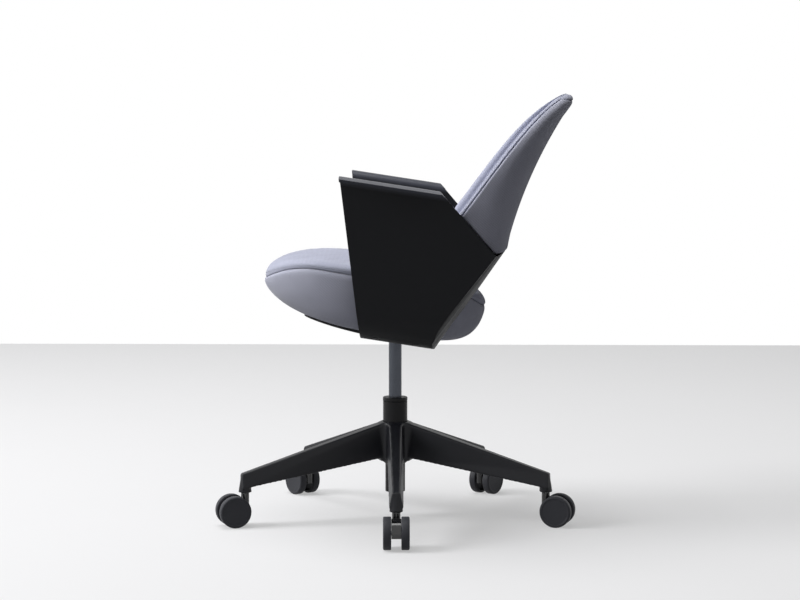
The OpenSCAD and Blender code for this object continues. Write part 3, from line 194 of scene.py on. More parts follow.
class Nodes:
    """Short names for adding nodes to a material and wiring them."""

    def __init__(self, name):
        self.material = bpy.data.materials.new(name)
        self.material.use_nodes = True
        self.tree = self.material.node_tree
        self.tree.nodes.clear()
        self.shader = self.add("ShaderNodeBsdfPrincipled")
        out = self.add("ShaderNodeOutputMaterial")
        self.wire(self.shader.outputs[0], out.inputs[0])

    def add(self, kind, **values):
        node = self.tree.nodes.new(kind)
        for key, value in values.items():
            setattr(node, key, value)
        return node

    def wire(self, source, target):
        self.tree.links.new(source, target)

    def put(self, socket, value):
        if isinstance(value, bpy.types.NodeSocket):
            self.wire(value, socket)
        else:
            socket.default_value = value

    def maths(self, operation, a, b=0.0, c=None):
        node = self.add("ShaderNodeMath", operation=operation)
        self.put(node.inputs[0], a)
        self.put(node.inputs[1], b)
        if c is not None:
            self.put(node.inputs[2], c)
        return node.outputs[0]

    def noise(self, where, scale, detail=2.0, roughness=0.5):
        node = self.add("ShaderNodeTexNoise")
        self.put(node.inputs["Vector"], where)
        node.inputs["Scale"].default_value = scale
        node.inputs["Detail"].default_value = detail
        node.inputs["Roughness"].default_value = roughness
        return node.outputs["Fac"]

    def between(self, factor, low, high, from_low=0.0, from_high=1.0):
        node = self.add("ShaderNodeMapRange")
        self.put(node.inputs["Value"], factor)
        for key, value in zip(("From Min", "From Max", "To Min", "To Max"), (from_low, from_high, low, high)):
            node.inputs[key].default_value = value
        return node.outputs[0]

    def colour_mix(self, factor, a, b):
        node = self.add("ShaderNodeMix", data_type="RGBA")
        self.put(node.inputs[0], factor)
        self.put(node.inputs[6], a if isinstance(a, bpy.types.NodeSocket) else (*a, 1))
        self.put(node.inputs[7], b if isinstance(b, bpy.types.NodeSocket) else (*b, 1))
        return node.outputs[2]

    def stretched(self, where, scale, turn=(0, 0, 0)):
        node = self.add("ShaderNodeMapping")
        self.put(node.inputs["Vector"], where)
        node.inputs["Scale"].default_value = scale
        node.inputs["Rotation"].default_value = turn
        return node.outputs[0]

    def bump(self, height, strength, distance, normal=None):
        node = self.add("ShaderNodeBump")
        node.inputs["Strength"].default_value = strength
        node.inputs["Distance"].default_value = distance
        self.put(node.inputs["Height"], height)
        if normal is not None:
            self.put(node.inputs["Normal"], normal)
        return node.outputs[0]

    def set(self, **values):
        for key, value in values.items():
            self.put(self.shader.inputs[key.replace("_", " ")], value)


def from_screen(r, g, b):
    """Turns a colour as a screen shows it, 0 to 255, into the linear light that shaders use."""
    v = np.array([r, g, b]) / 255
    return tuple(float(x) for x in np.where(v <= 0.04045, v / 12.92, ((v + 0.055) / 1.055)**2.4))


# %% [markdown]
# ## Woven cloth
# The cover is a firm twill: fine slanted ridges with a second yarn across them. An unwrapped
# picture of cloth would need seams in the unwrapping, so the ridges are sine waves of the place
# itself, laid on from three sides and mixed by the way the surface faces.

# %% Woven cloth
TWILL_PITCH = 0.0026


def woven_cloth(name, light, dark, lean=0.0):
    """Cloth: slanted twill ridges crossed by finer yarns, laid on from three sides and mixed."""
    m = Nodes(name)
    place = m.add("ShaderNodeTexCoord")
    where = m.stretched(place.outputs["Object"], (1, 1, 1), (lean, 0, 0))
    facing = m.stretched(place.outputs["Normal"], (1, 1, 1), (lean, 0, 0))
    split = m.add("ShaderNodeSeparateXYZ")
    m.wire(where, split.inputs[0])
    sides = m.add("ShaderNodeSeparateXYZ")
    m.wire(facing, sides.inputs[0])
    turn = 2 * math.pi / TWILL_PITCH
    heights, weights = [], []
    for side, (u, v, slant) in enumerate(((1, 2, -0.8), (0, 2, 0.8), (1, 0, -0.06))):
        stretch = 1 / math.hypot(1, slant)
        along = m.maths("MULTIPLY", split.outputs[u], turn * stretch)
        rise = m.maths("MULTIPLY", split.outputs[v], turn * stretch * slant)
        ridge = m.maths("SINE", m.maths("ADD", along, rise))
        yarn = m.maths("SINE", m.maths("SUBTRACT", m.maths("MULTIPLY", rise, 2.0 / slant), along))
        heights.append(m.maths("MULTIPLY_ADD", yarn, 0.35, ridge))
        weights.append(m.maths("POWER", m.maths("ABSOLUTE", sides.outputs[side]), 6.0))
    total = m.maths("ADD", m.maths("ADD", weights[0], weights[1]), weights[2])
    weave = m.maths("ADD", m.maths("ADD", m.maths("MULTIPLY", heights[0], weights[0]),
                                   m.maths("MULTIPLY", heights[1], weights[1])),
                    m.maths("MULTIPLY", heights[2], weights[2]))
    weave = m.maths("DIVIDE", weave, total)
    yarn = m.noise(where, 900, 2, 0.6)
    fuzz = m.noise(where, 2600, 2, 0.7)
    cloud = m.noise(where, 14, 3, 0.5)
    tone = m.between(weave, 0.15, 0.85, -1.35, 1.35)
    tone = m.maths("ADD", tone, m.between(yarn, -0.22, 0.22, 0.25, 0.75))
    tone = m.maths("ADD", tone, m.between(cloud, -0.08, 0.08, 0.3, 0.7))
    m.set(Base_Color=m.colour_mix(tone, dark, light))
    m.set(Roughness=m.between(fuzz, 0.78, 0.98), Sheen_Weight=0.2, Sheen_Roughness=0.5)
    m.set(Specular_IOR_Level=0.12)
    relief = m.maths("ADD", m.maths("MULTIPLY", weave, 0.45), m.maths("MULTIPLY", fuzz, 0.25))
    m.set(Normal=m.bump(relief, 0.42, 0.0004))
    return m.material


SEAT_CLOTH = woven_cloth("cloth_lavender_grey", from_screen(195, 198, 216), from_screen(141, 144, 162), -LEAN)
SIDE_CLOTH = woven_cloth("cloth_side_grey", from_screen(202, 204, 220), from_screen(145, 147, 162), -LEAN)
print("twill ridges every", TWILL_PITCH * 1000, "mm")

# %% [markdown]
# ## Moulded plastic
# The shell and base are moulded, with a fine grain, and the arm's lip is more polished and has a
# lighter colour, a painted highlight. The grain is noise in the gloss and in the relief. The edges
# are found by comparing the rounded normal with the flat one, which needs no painting by hand, and
# are lighter in colour, partly as wear and partly as a painted highlight.

# %% Moulded plastic


def moulded(name, colour, wear_and_highlight, roughness=0.45, grain=0.00012, edge=0.0009, specular=0.5, lip=None):
    """Moulded plastic: fine grain in gloss and relief, edges lighter partly by wear and partly as a painted
    highlight, and glossier above a leaned height with a lighter colour there as a painted highlight.
    """
    m = Nodes(name)
    where = m.add("ShaderNodeTexCoord").outputs["Object"]
    fine = m.noise(where, 1700, 3, 0.6)
    broad = m.noise(where, 22, 3, 0.55)
    round_edge = m.add("ShaderNodeBevel", samples=4)
    round_edge.inputs["Radius"].default_value = edge
    flat = m.add("ShaderNodeNewGeometry")
    meet = m.add("ShaderNodeVectorMath", operation="DOT_PRODUCT")
    m.wire(round_edge.outputs[0], meet.inputs[0])
    m.wire(flat.outputs["Normal"], meet.inputs[1])
    # Edges turn lighter in colour, partly as wear and partly as a painted highlight.
    wear_and_highlight_mask = m.between(meet.outputs["Value"], 0.55, 0.0, 0.72, 0.995)
    wear_and_highlight_mask = m.maths("MULTIPLY", wear_and_highlight_mask, m.between(m.noise(where, 60, 4, 0.7), 0.1, 1.0, 0.35, 0.65))
    tone = m.colour_mix(m.between(broad, 0.0, 0.5, 0.3, 0.7), colour, tuple(c * 1.22 for c in colour))
    gloss = m.maths("ADD", m.between(fine, roughness - 0.05, roughness + 0.07, 0.3, 0.7),
                    m.between(broad, -0.03, 0.03, 0.3, 0.7))
    # Above the lip's height the colour turns lighter, a painted highlight; the lower roughness there is real
    # polish.
    if lip:
        height, painted_highlight, shine = lip
        upright = m.add("ShaderNodeSeparateXYZ")
        m.wire(m.stretched(where, (1, 1, 1), (LEAN, 0, 0)), upright.inputs[0])
        share = m.between(upright.outputs["Z"], 0.0, 1.0, height - 0.006, height + 0.006)
        tone = m.colour_mix(share, tone, painted_highlight)
        gloss = m.maths("MULTIPLY_ADD", share, m.maths("MULTIPLY", gloss, shine - 1), gloss)
    m.set(Base_Color=m.colour_mix(wear_and_highlight_mask, tone, wear_and_highlight))
    m.set(Roughness=gloss, Specular_IOR_Level=specular)
    m.set(Normal=m.bump(fine, 0.35, grain, round_edge.outputs[0]))
    return m.material


LIP_START = AXIS_HEIGHT / 1000 * math.cos(LEAN) + 0.281
print("the polished lip starts", round(LIP_START, 4), "m up along the lean")
# Each finish's second colour is its edge colour, partly wear and partly painted highlight.
# The shell's lip colour, from_screen(66, 68, 77), is a painted highlight.
SHELL = moulded("plastic_shell", from_screen(17, 18, 21), from_screen(62, 63, 69),
                0.48, 0.00016, 0.0022, 0.15, (LIP_START, from_screen(66, 68, 77), 0.6))
NYLON = moulded("nylon_base", from_screen(19, 20, 25), from_screen(66, 66, 70), 0.40, 0.00010, 0.002, 0.28)
HOOD_GLOSS = moulded("nylon_hood", from_screen(20, 20, 23), from_screen(62, 62, 66),
                     0.13, 0.00002, 0.0015, 0.7)
TREAD = moulded("wheel_tread", from_screen(50, 51, 56), from_screen(74, 74, 78), 0.6, 0.00010, 0.0015, 0.3)
COLLAR = moulded("collar_black", from_screen(17, 17, 19), from_screen(50, 50, 54),
                 0.42, 0.00006, 0.0008, 0.18)
RUBBER = moulded("rubber", from_screen(24, 24, 25), from_screen(40, 40, 41), 0.8, 0.0002)

# %% [markdown]
# ## Steel, plywood and thread
# The gas spring, the bolts and the seams show in small places, and the boards lie hidden in the
# pads. Each finish is noise stretched along its own grain, which is enough at their size.

# %% Steel, plywood and thread


def steel(name, colour, roughness, along=(1, 1, 60)):
    """Steel: long fine lines in the gloss, and a faint cloud where fingers have been."""
    m = Nodes(name)
    where = m.add("ShaderNodeTexCoord").outputs["Object"]
    lines = m.noise(m.stretched(where, along), 900, 2, 0.6)
    cloud = m.noise(where, 25, 3, 0.5)
    m.set(Base_Color=m.colour_mix(cloud, colour, tuple(c * 1.25 for c in colour)), Metallic=1.0)
    m.set(Roughness=m.maths("ADD", m.between(lines, roughness - 0.07, roughness + 0.07, 0.3, 0.7),
                            m.between(cloud, -0.04, 0.04, 0.3, 0.7)))
    m.set(Normal=m.bump(lines, 0.12, 0.00005))
    return m.material


def plywood(name):
    """Plywood: stretched noise for the grain, darker in the pores."""
    m = Nodes(name)
    where = m.add("ShaderNodeTexCoord").outputs["Object"]
    grain = m.noise(m.stretched(where, (60, 4, 60)), 6, 5, 0.65)
    m.set(Base_Color=m.colour_mix(grain, from_screen(120, 88, 56), from_screen(188, 150, 106)))
    m.set(Roughness=m.between(grain, 0.55, 0.8), Normal=m.bump(grain, 0.3, 0.0003))
    return m.material


def sewing_thread(name, colour):
    """Thread: two plies as fine slanted bands."""
    m = Nodes(name)
    where = m.add("ShaderNodeTexCoord").outputs["Object"]
    ply = m.noise(m.stretched(where, (1, 1, 3)), 2500, 1, 0.4)
    m.set(Base_Color=m.colour_mix(ply, tuple(c * 0.7 for c in colour), colour))
    m.set(Roughness=m.between(ply, 0.5, 0.75), Normal=m.bump(ply, 0.4, 0.0002))
    return m.material


DARK_STEEL = steel("steel_dark", from_screen(72, 75, 81), 0.34)
BLACK_STEEL = steel("steel_black", from_screen(38, 38, 41), 0.5)
BRIGHT_STEEL = steel("steel_bright", from_screen(168, 170, 174), 0.28)
PLY = plywood("plywood")
THREAD = sewing_thread("thread", from_screen(176, 179, 194))
print("made:", ", ".join(m.name for m in (DARK_STEEL, BLACK_STEEL, BRIGHT_STEEL, PLY, THREAD)))

# %% [markdown]
# ## A finish for every solid
# The record names a slot for each solid, such as nylon or board. Each solid gets the matching
# finish through its object's own slots, so that its shape isn't touched.

# %% A finish for every solid
FINISH = {"nylon_black": NYLON, "shell_black": SHELL, "steel_dark": DARK_STEEL, "steel_bright": BRIGHT_STEEL,
          "rubber_black": RUBBER, "fabric_light": SEAT_CLOTH, "fabric_side": SIDE_CLOTH, "board": PLY}
SLOT_OF = {part["node"]: part["material_slot"] for part in frame["record"]["subparts"]}
print("finishes:", sorted(FINISH))


def finish_node(node, material):
    """Gives a CAD node a better material through its object's own slots."""
    piece = frame["nodes"][node]
    if not piece.data.materials:
        piece.data.materials.append(material)
    for holder in piece.material_slots:
        holder.link = "OBJECT"
        holder.material = material


for node, slot_name in SLOT_OF.items():
    finish_node(node, FINISH[slot_name])
for node in ("carrier_bolts", "strap_screws"):
    finish_node(node, BLACK_STEEL)

# %% [markdown]
# ## Rigid pieces with rounded edges
# A CAD solid has knife edges, and a real moulding never does: light runs along its small radii.
# A copy of the solid is merged, flat parts are joined, and a Bevel rounds what is sharp.

# %% Round the edges of a copy


def rounded_copy(node, radius, material, segments=3, angle=32.0, name=None):
    """Copies a CAD node, merges it, joins its flat parts and bevels its sharp edges."""
    source = frame["nodes"][node]
    edit = bmesh.new()
    edit.from_mesh(source.data)
    bmesh.ops.remove_doubles(edit, verts=edit.verts, dist=2e-6)
    bmesh.ops.dissolve_limit(edit, angle_limit=math.radians(0.6), verts=edit.verts, edges=edit.edges)
    mesh = bpy.data.meshes.new(name or node + "_dressed")
    edit.to_mesh(mesh)
    edit.free()
    mesh.shade_smooth()
    mesh.set_sharp_from_angle(angle=math.radians(angle))
    mesh.materials.clear()
    mesh.materials.append(material)
    piece = bpy.data.objects.new(name or node + "_dressed", mesh)
    bpy.context.scene.collection.objects.link(piece)
    bevel = piece.modifiers.new("round", "BEVEL")
    bevel.width = radius
    bevel.segments = segments
    bevel.limit_method = "ANGLE"
    bevel.angle_limit = math.radians(angle)
    bevel.harden_normals = True
    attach(piece, BODY_OF[node])
    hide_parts(node)
    return piece


# %% [markdown]
# ## A moulding with fillets
# The base is one nylon moulding whose legs run into the hub with fillets. A bevel can't fill
# an inner corner of that kind, so a copy is remade of small cells and smoothed, and half of its
# triangles are then enough.

# %% Melt a moulding's corners together


def melted_copy(node, voxel, passes, keep, material):
    """Remeshes a copy of a node in small cells, smooths it and keeps a share of its triangles."""
    piece = rounded_copy(node, 0.001, material)
    piece.modifiers.clear()
    cells = piece.modifiers.new("cells", "REMESH")
    cells.mode, cells.voxel_size, cells.use_smooth_shade = "VOXEL", voxel, True
    soft = piece.modifiers.new("soft", "SMOOTH")
    soft.factor, soft.iterations = 0.5, passes
    fewer = piece.modifiers.new("fewer", "DECIMATE")
    fewer.ratio = keep
    mesh = settle(piece)
    mesh.materials.clear()
    mesh.materials.append(material)
    mesh.shade_smooth()
    print(piece.name, "melted to", len(mesh.polygons), "faces")
    return piece


# %% [markdown]
# ## Foam under cloth
# The pads are foam under tight cloth. Each starts a little smaller than its space, and Blender's
# cloth solver blows it up like a cushion while its seam and its hidden faces are held. How far a
# point may move is capped, so that the pad keeps its place beside its neighbours.

# %% Cloth helpers
PRESSURE = 4.0
CLOTH_FRAMES = 20


def hold_and_swell(piece, free, inset, cap, pressure=PRESSURE):
    """Draws the free part in along its normals, lets air pressure push it out, and caps the move."""
    mesh = piece.data
    start = read_points(mesh) - read_normals(mesh) * (free * inset)[:, None]
    write_points(mesh, start)
    held = piece.vertex_groups.new(name="held")
    for level in range(11):
        members = np.nonzero(np.round((1 - free) * 10) == level)[0]
        if level and len(members):
            held.add(members.tolist(), level / 10, "REPLACE")
    cloth = piece.modifiers.new("air", "CLOTH")
    cloth.settings.use_pressure = True
    cloth.settings.uniform_pressure_force = pressure
    cloth.settings.vertex_group_mass = "held"
    cloth.settings.effector_weights.gravity = 0
    cloth.point_cache.frame_start, cloth.point_cache.frame_end = 1, CLOTH_FRAMES
    for number in range(1, CLOTH_FRAMES + 1):
        bpy.context.scene.frame_set(number)
    worked = piece.evaluated_get(bpy.context.evaluated_depsgraph_get())
    moved = read_points(worked.data) - start
    piece.modifiers.remove(cloth)
    piece.vertex_groups.clear()
    bpy.context.scene.frame_set(1)
    size = np.linalg.norm(moved, axis=1)
    print(piece.name, "swells by up to", round(float(size.max()) * 1000, 1), "mm, capped at", cap * 1000)
    start = start + moved * np.minimum(1, cap / np.maximum(size, 1e-9))[:, None]
    write_points(mesh, start)
    return piece


def subdivide_once(piece):
    """Applies one smooth subdivision."""
    piece.modifiers.new("finer", "SUBSURF").levels = 1
    piece.modifiers["finer"].render_levels = 1
    settle(piece)
    return piece


# %% [markdown]
# ## Sewn lines and stitches
# Sewn cloth dips in a narrow valley, and the thread lies on it in short stitches. The dip is a
# bell curve along the surface's normals, and each stitch is a capsule on the nearest surface,
# which is simpler than a real thread that goes through the cloth.

# %% Sewn lines and stitches


def draw_in(piece, line, depth, width):
    """Pulls the surface in along a sewn line by a bell curve of that depth and width."""
    mesh = piece.data
    points, normals = read_points(mesh), read_normals(mesh)
    pull = depth * np.exp(-(distance_to(points, line) / width)**2)
    write_points(mesh, points - normals * pull[:, None])


def sew(name, line, over, body, pitch=0.0062, length=0.0046, radius=0.00055, sink=0.0):
    """Lays small capsules of thread end to end along a line, on the surface under it."""
    tree = BVHTree.FromObject(over, bpy.context.evaluated_depsgraph_get())
    spots = resample(line, pitch)
    here, up = [], []
    for spot in spots:
        found = tree.find_nearest(Vector(spot))
        here.append(found[0])
        up.append(found[1])
    here, up = np.array(here), np.array(up)
    along = np.gradient(here, axis=0)
    along /= np.linalg.norm(along, axis=1)[:, None]
    across = np.cross(up, along)
    across /= np.linalg.norm(across, axis=1)[:, None]
    t = np.array([-0.5, -0.42, -0.2, 0.2, 0.42, 0.5])
    r = np.array([0.05, 0.7, 1, 1, 0.7, 0.05])
    lift = np.array([-0.9, -0.2, 0.35, 0.35, -0.2, -0.9])
    a = np.arange(6) * math.pi / 3
    ring = np.stack([np.cos(a), np.sin(a)], -1)
    points = (here[:, None, None] + along[:, None, None] * (t * length)[None, :, None, None]
              + up[:, None, None] * ((lift * radius)[None, :, None, None] - sink)
              + across[:, None, None] * (r[:, None] * ring[:, 0] * radius)[None, :, :, None]
              + up[:, None, None] * (r[:, None] * ring[:, 1] * radius)[None, :, :, None])
    one = grid_quads(6, 6, True)
    faces = (one[None] + (np.arange(len(spots)) * 36)[:, None, None]).reshape(-1, 4).tolist()
    for k in range(len(spots)):
        faces.append([k * 36 + n for n in range(5, -1, -1)])
        faces.append([k * 36 + 30 + n for n in range(6)])
    piece = make_piece(name, points, faces)
    piece.data.materials.append(THREAD)
    close_mesh(piece, 1e-7)
    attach(piece, body)
    print(name, len(spots), "stitches")
    return piece


# %% [markdown]
# ## The seat
# The seat is two pads sewn round their rim: a crowned cushion above and a bowl below, whose
# belly rests in the shell. Both have the same plan, a soft rectangle. A grid of nested
# rectangles is bent on to that plan, which leaves no pole in the middle.

# %% Seat: plan, seam, crown and bowl
SEAT_HALF_W, SEAT_MID, SEAT_HALF_L, SEAT_CORNER = 238.0, -51.0, 232.0, 2.5
SEAM_H, NOSE_DROP, TAIL_DROP = 102.0, 46.0, 36.0
CROWN_H, REAR_FALL, SEAT_DISH, SEAT_LOW = 132.0, 22.0, 8.0, -17.75
SEAT_CELLS = 44
RIM_TUCK, RIM_ROUND = 2.2, 7.0


def seam_height(y):
    """Level at the sides, falling towards the front and rear rim by a power of the way there."""
    return (SEAM_H - NOSE_DROP * np.maximum(0, (-150 - y) / 133)**2.5
            - TAIL_DROP * np.maximum(0, (y - 60) / 121)**2.5)


def nested_plan(shares):
    """Nested rectangles bent to the soft plan: share of the way out, and its point on the rim."""
    axis = np.concatenate([-shares[:0:-1], shares])
    u, v = np.meshgrid(axis, axis, indexing="ij")
    q = np.maximum(np.abs(u), np.abs(v))
    safe = np.where(q == 0, 1, q)
    du, dv = u / safe, v / safe
    reach = 1 / np.maximum((np.abs(du)**SEAT_CORNER + np.abs(dv)**SEAT_CORNER), 1e-9)**(1 / SEAT_CORNER)
    rim = np.stack([SEAT_HALF_W * reach * du, SEAT_MID + SEAT_HALF_L * reach * dv], -1)
    return q, rim, reach * dv


def tucked(q, rise):
    """Draws the wall in to its seam, by RIM_TUCK at the seam and nothing from RIM_ROUND above it."""
    return q - RIM_TUCK / SEAT_HALF_W * np.clip(1 - rise / RIM_ROUND, 0, 1)**2


def crown_rise(q, tilt):
    """Share of the crown's height at share q of the way out: steeper at the sides than at the ends."""
    side = 1 - np.abs(tilt)**1.5
    return np.maximum(0, 1 - np.power(q, 3 + side))**(0.4 - 0.12 * side)


def seat_points(shares, level, extra=0.0):
    """Points of one side of the seat: the crown above the seam, or the bowl below it."""
    q, rim, tilt = nested_plan(shares)
    centre = np.array([0, SEAT_MID])
    xy = centre + (rim - centre) * q[..., None]
    edge = seam_height(rim[..., 1])
    if level == "crown":
        fall = REAR_FALL * np.maximum(0, (xy[..., 1] - SEAT_MID) / SEAT_HALF_L)**2
        z = edge + crown_rise(q, tilt) * (CROWN_H - fall - edge) - SEAT_DISH * (1 - q * q)**2
    elif level == "bowl":
        power = 2.6 + 5.4 * (1 + signed_power(tilt, 1.25)) / 2
        z = edge - (edge - SEAT_LOW) * np.maximum(0, 1 - q**power)**0.5
    else:
        z = edge + extra * (1 - q)
    share = q * (1 - RIM_TUCK / SEAT_HALF_W) if extra else tucked(q, np.abs(z - edge))
    xy = centre + (rim - centre) * share[..., None]
    return np.concatenate([xy, z[..., None]], -1), q


def seat_rim(share=1.0, lift=0.0, level="seam", steps=720):
    """The rim of the seat as a closed line of points, at a share of the way out."""
    a = np.linspace(0, 2 * np.pi, steps)
    ex = signed_power(np.cos(a), 2 / SEAT_CORNER)
    ey = signed_power(np.sin(a), 2 / SEAT_CORNER)
    edge = seam_height(SEAT_MID + SEAT_HALF_L * ey)
    y = SEAT_MID + SEAT_HALF_L * share * ey
    z = edge + lift
    if level == "crown":
        fall = REAR_FALL * np.maximum(0, (y - SEAT_MID) / SEAT_HALF_L)**2
        z = edge + crown_rise(share, ey) * (CROWN_H - fall - edge) - SEAT_DISH * (1 - share**2)**2 + lift
    return lean_back(np.stack([SEAT_HALF_W * share * ex, y, z], -1))


def seat_pad(name, upper, lower, upper_shares, lower_shares):
    """Closes an upper and a lower grid, which share their rim, into one pad."""
    top, _ = seat_points(upper_shares, *upper)
    bottom, _ = seat_points(lower_shares, *lower)
    n, k = top.shape[0], bottom.shape[0]
    faces = np.concatenate([grid_quads(n, n), grid_quads(k, k)[:, ::-1] + n * n])
    points = np.concatenate([top.reshape(-1, 3), bottom.reshape(-1, 3)])
    return close_mesh(make_piece(name, lean_back(points), faces), 4e-5)


print("the seat is", 2 * SEAT_HALF_W, "by", 2 * SEAT_HALF_L, "mm")

# %% [markdown]
# ## The seat cushion
# The upper half of the seat is a crowned cushion with a steep shoulder and a row of stitches
# just above its seam. Its crown and its hidden side, which keeps to the seam's level, are two
# grids that share a rim, and a gentle pressure rounds it.

# %% Seat cushion
crown_shares = even_shares(lambda q: (235 * q, 55 * (1 - q**3)**0.4), SEAT_CELLS + 1)
cushion = seat_pad("seat_cushion_foam", ("crown",), ("seam", 3.0), crown_shares, crown_shares)
SEAM_LINE = seat_rim(1 - RIM_TUCK / SEAT_HALF_W)
far = distance_to(read_points(cushion.data), SEAM_LINE)
up = read_normals(cushion.data)[:, 2] > 0.15
cushion_free = np.where(up | (far < 0.012), np.clip((far - 0.002) / 0.03, 0, 1), 0)
hold_and_swell(cushion, cushion_free, inset=0.0015, cap=0.005, pressure=1.0)
subdivide_once(cushion)
draw_in(cushion, SEAM_LINE, depth=0.001, width=0.003)
STITCH_UP = seat_rim(0.9985, 0.0, "crown")
draw_in(cushion, STITCH_UP, depth=0.0009, width=0.0022)
cushion.data.materials.append(SEAT_CLOTH)
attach(cushion, "upper")
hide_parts("seat_cushion")

# %% [markdown]
# ## The lower pad
# The lower half is a bowl under the same rim. Its lowest part lies in the shell and is held,
# and only the part that shows swells. A box is cut out for the board and the carrier.

# %% Lower pad
HELD_BELOW = 0.435
bowl_shares = even_shares(lambda q: (235 * q, 115 * (1 - q**3.5)**0.5), SEAT_CELLS + 1)
lower = seat_pad("seat_bowl_foam", ("seam", -3.0), ("bowl",), bowl_shares, bowl_shares)
far = distance_to(read_points(lower.data), SEAM_LINE)
down = read_normals(lower.data)[:, 2] < -0.05
lower_xyz = read_points(lower.data)
near_shell = np.clip((lower_xyz[:, 2] - HELD_BELOW) / 0.03, 0, 1)
lower_free = np.where(down | (far < 0.012), np.clip((far - 0.002) / 0.03, 0, 1), 0) * near_shell
hold_and_swell(lower, lower_free, inset=0.0025, cap=0.005)
subdivide_once(lower)
draw_in(lower, SEAM_LINE, depth=0.001, width=0.003)
lower.data.materials.append(SIDE_CLOTH)


def cut_away(piece, corners_low, corners_high):
    """Cuts a leaned box, given by its low and high corner in millimetres, out of a piece."""
    (x0, y0, z0), (x1, y1, z1) = corners_low, corners_high
    box = np.array([[x, y, z] for z in (z0, z1) for y in (y0, y1) for x in (x0, x1)])
    knife = make_piece("knife", lean_back(box), [(0, 2, 3, 1), (4, 5, 7, 6), (0, 1, 5, 4), (2, 6, 7, 3),
                                                (0, 4, 6, 2), (1, 3, 7, 5)], False)
    cut = piece.modifiers.new("cut", "BOOLEAN")
    cut.operation, cut.solver, cut.object = "DIFFERENCE", "EXACT", knife
    mesh = settle(piece)
    bpy.data.objects.remove(knife)
    print(piece.name, "cut to", len(mesh.polygons), "faces")


cut_away(lower, (-186, -60, -60), (186, 74, 52))
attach(lower, "upper")
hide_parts("seat_lower_pad")

# %% [markdown]
# ## The stitches
# A row of single stitches runs round the cushion. A line of bump would vanish close up, so each
# stitch is a small capsule that lies on the cloth.

# %% Seat stitches
sew("seat_stitch_row", STITCH_UP, cushion, "upper")

# %% [markdown]
# ## The back
# The back is a tall leaf that wraps round the sitter. Seen from above it is a crescent, and its
# wings end in a bull nose. A rear cover and a front pad meet in one seam that runs up one wing,
# over the top and down the other.

# %% Back: the crescent's lines
FOOT_H, BACK_RISE = 188.0, 336.0
SEAM_ANGLE = 30.0
COVER_T, WING_T = 15.0, 26.0


def back_shape(z):
    """Lines of the crescent at a height, from s, the share of the way from foot to top.
    The rear and the side lie further back by powers of s, the half width is the full width times
    (1 - s^6)^0.4, the depth shrinks upwards, and the roll closes the top by a quarter circle."""
    s = (z - FOOT_H) / BACK_RISE
    up = np.clip(s, 0, 1)
    rear = 203 + 29 * s + 70 * s * s
    side = 72 + 176 * s + 30 * up**6
    full = 268 + 44 * s - 95 * s * s
    half = full * np.maximum(1 - up**6, 1e-6)**0.4
    depth = 50 + 30 * (1 - s)**3 - 14 * up**3
    roll = np.sqrt(np.maximum(1 - np.maximum(0, (s - 0.93) / 0.07)**2, 1e-6))
    return s, side, full, half, depth, roll, rear - depth / 2


def crescent(t, half, mid, side, power):
    """Half a superellipse from wing to wing: t and 1 - |t| pushed out until |x|^p + y^p is 1."""
    t = np.clip(t, -1, 1)
    reach = (np.abs(t)**power + (1 - np.abs(t))**power)**(-1 / power)
    return np.stack([half * t * reach, side + (mid - side) * (1 - np.abs(t)) * reach], -1)


def outer_line(z, t, d=0.0):
    """The crescent's outer line at height z, moved inwards by d."""
    s, side, full, half, depth, roll, mid = back_shape(z)
    return crescent(t, np.maximum(half - d, 2), mid + (depth / 2 - d) * roll, side, 2.3 + 3 * (1 - s)**2)


def inner_line(z, t):
    """The crescent's inner line at height z, where the sitter leans."""
    s, side, full, half, depth, roll, mid = back_shape(z)
    return crescent(t, half * (1 - WING_T / full), mid - depth / 2 * roll, side, 2.35)


def nose_line(z, b, side):
    """Half circle from the outer to the inner line round the edge of a wing; b runs from 0 to 180."""
    p, q = outer_line(z, 1.0), inner_line(z, 1.0)
    half = (p - q) / 2
    out = np.stack([half[..., 1], -half[..., 0]], -1)
    point = (p + q) / 2 + half * np.cos(b)[..., None] + out * np.sin(b)[..., None]
    return point * [side, 1]


# %% [markdown]
# ## Where the back stands in the shell
# The back's foot stands inside the shell, behind its sloping edge. The shell's inner faces are
# written as formulas here, and points that would lie outside them are moved in. That is steadier
# than a collision in the cloth solver.

# %% Back: the shell's walls
ARM_END, NOTCH = (48, 296), (179, 183)
REAR_EDGE_RISE, EDGE_GAP = 0.5, 0.4


def edge_height(y):
    """Height of the shell's sloping edge at a place y: down to the notch, then gently up."""
    notch_y, notch_z = NOTCH
    slope = (notch_z - ARM_END[1]) / (notch_y - ARM_END[0])
    return np.where(y < notch_y, notch_z - slope * (notch_y - y),
                    notch_z + (y - notch_y) * REAR_EDGE_RISE) + EDGE_GAP


SIDE_FOOT_W, SIDE_FOOT_Z, SIDE_FLARE = 250.5, 34, math.radians(7)
REAR_FOOT_Y, REAR_FOOT_Z, REAR_LEAN, REAR_RUN = 64.7, -24, math.radians(28.9), 236.4
REAR_BULGE, BULGE_LOSS, REAR_WIDENING = 28, 13, 18.3
WALL_AND_GAP = 8


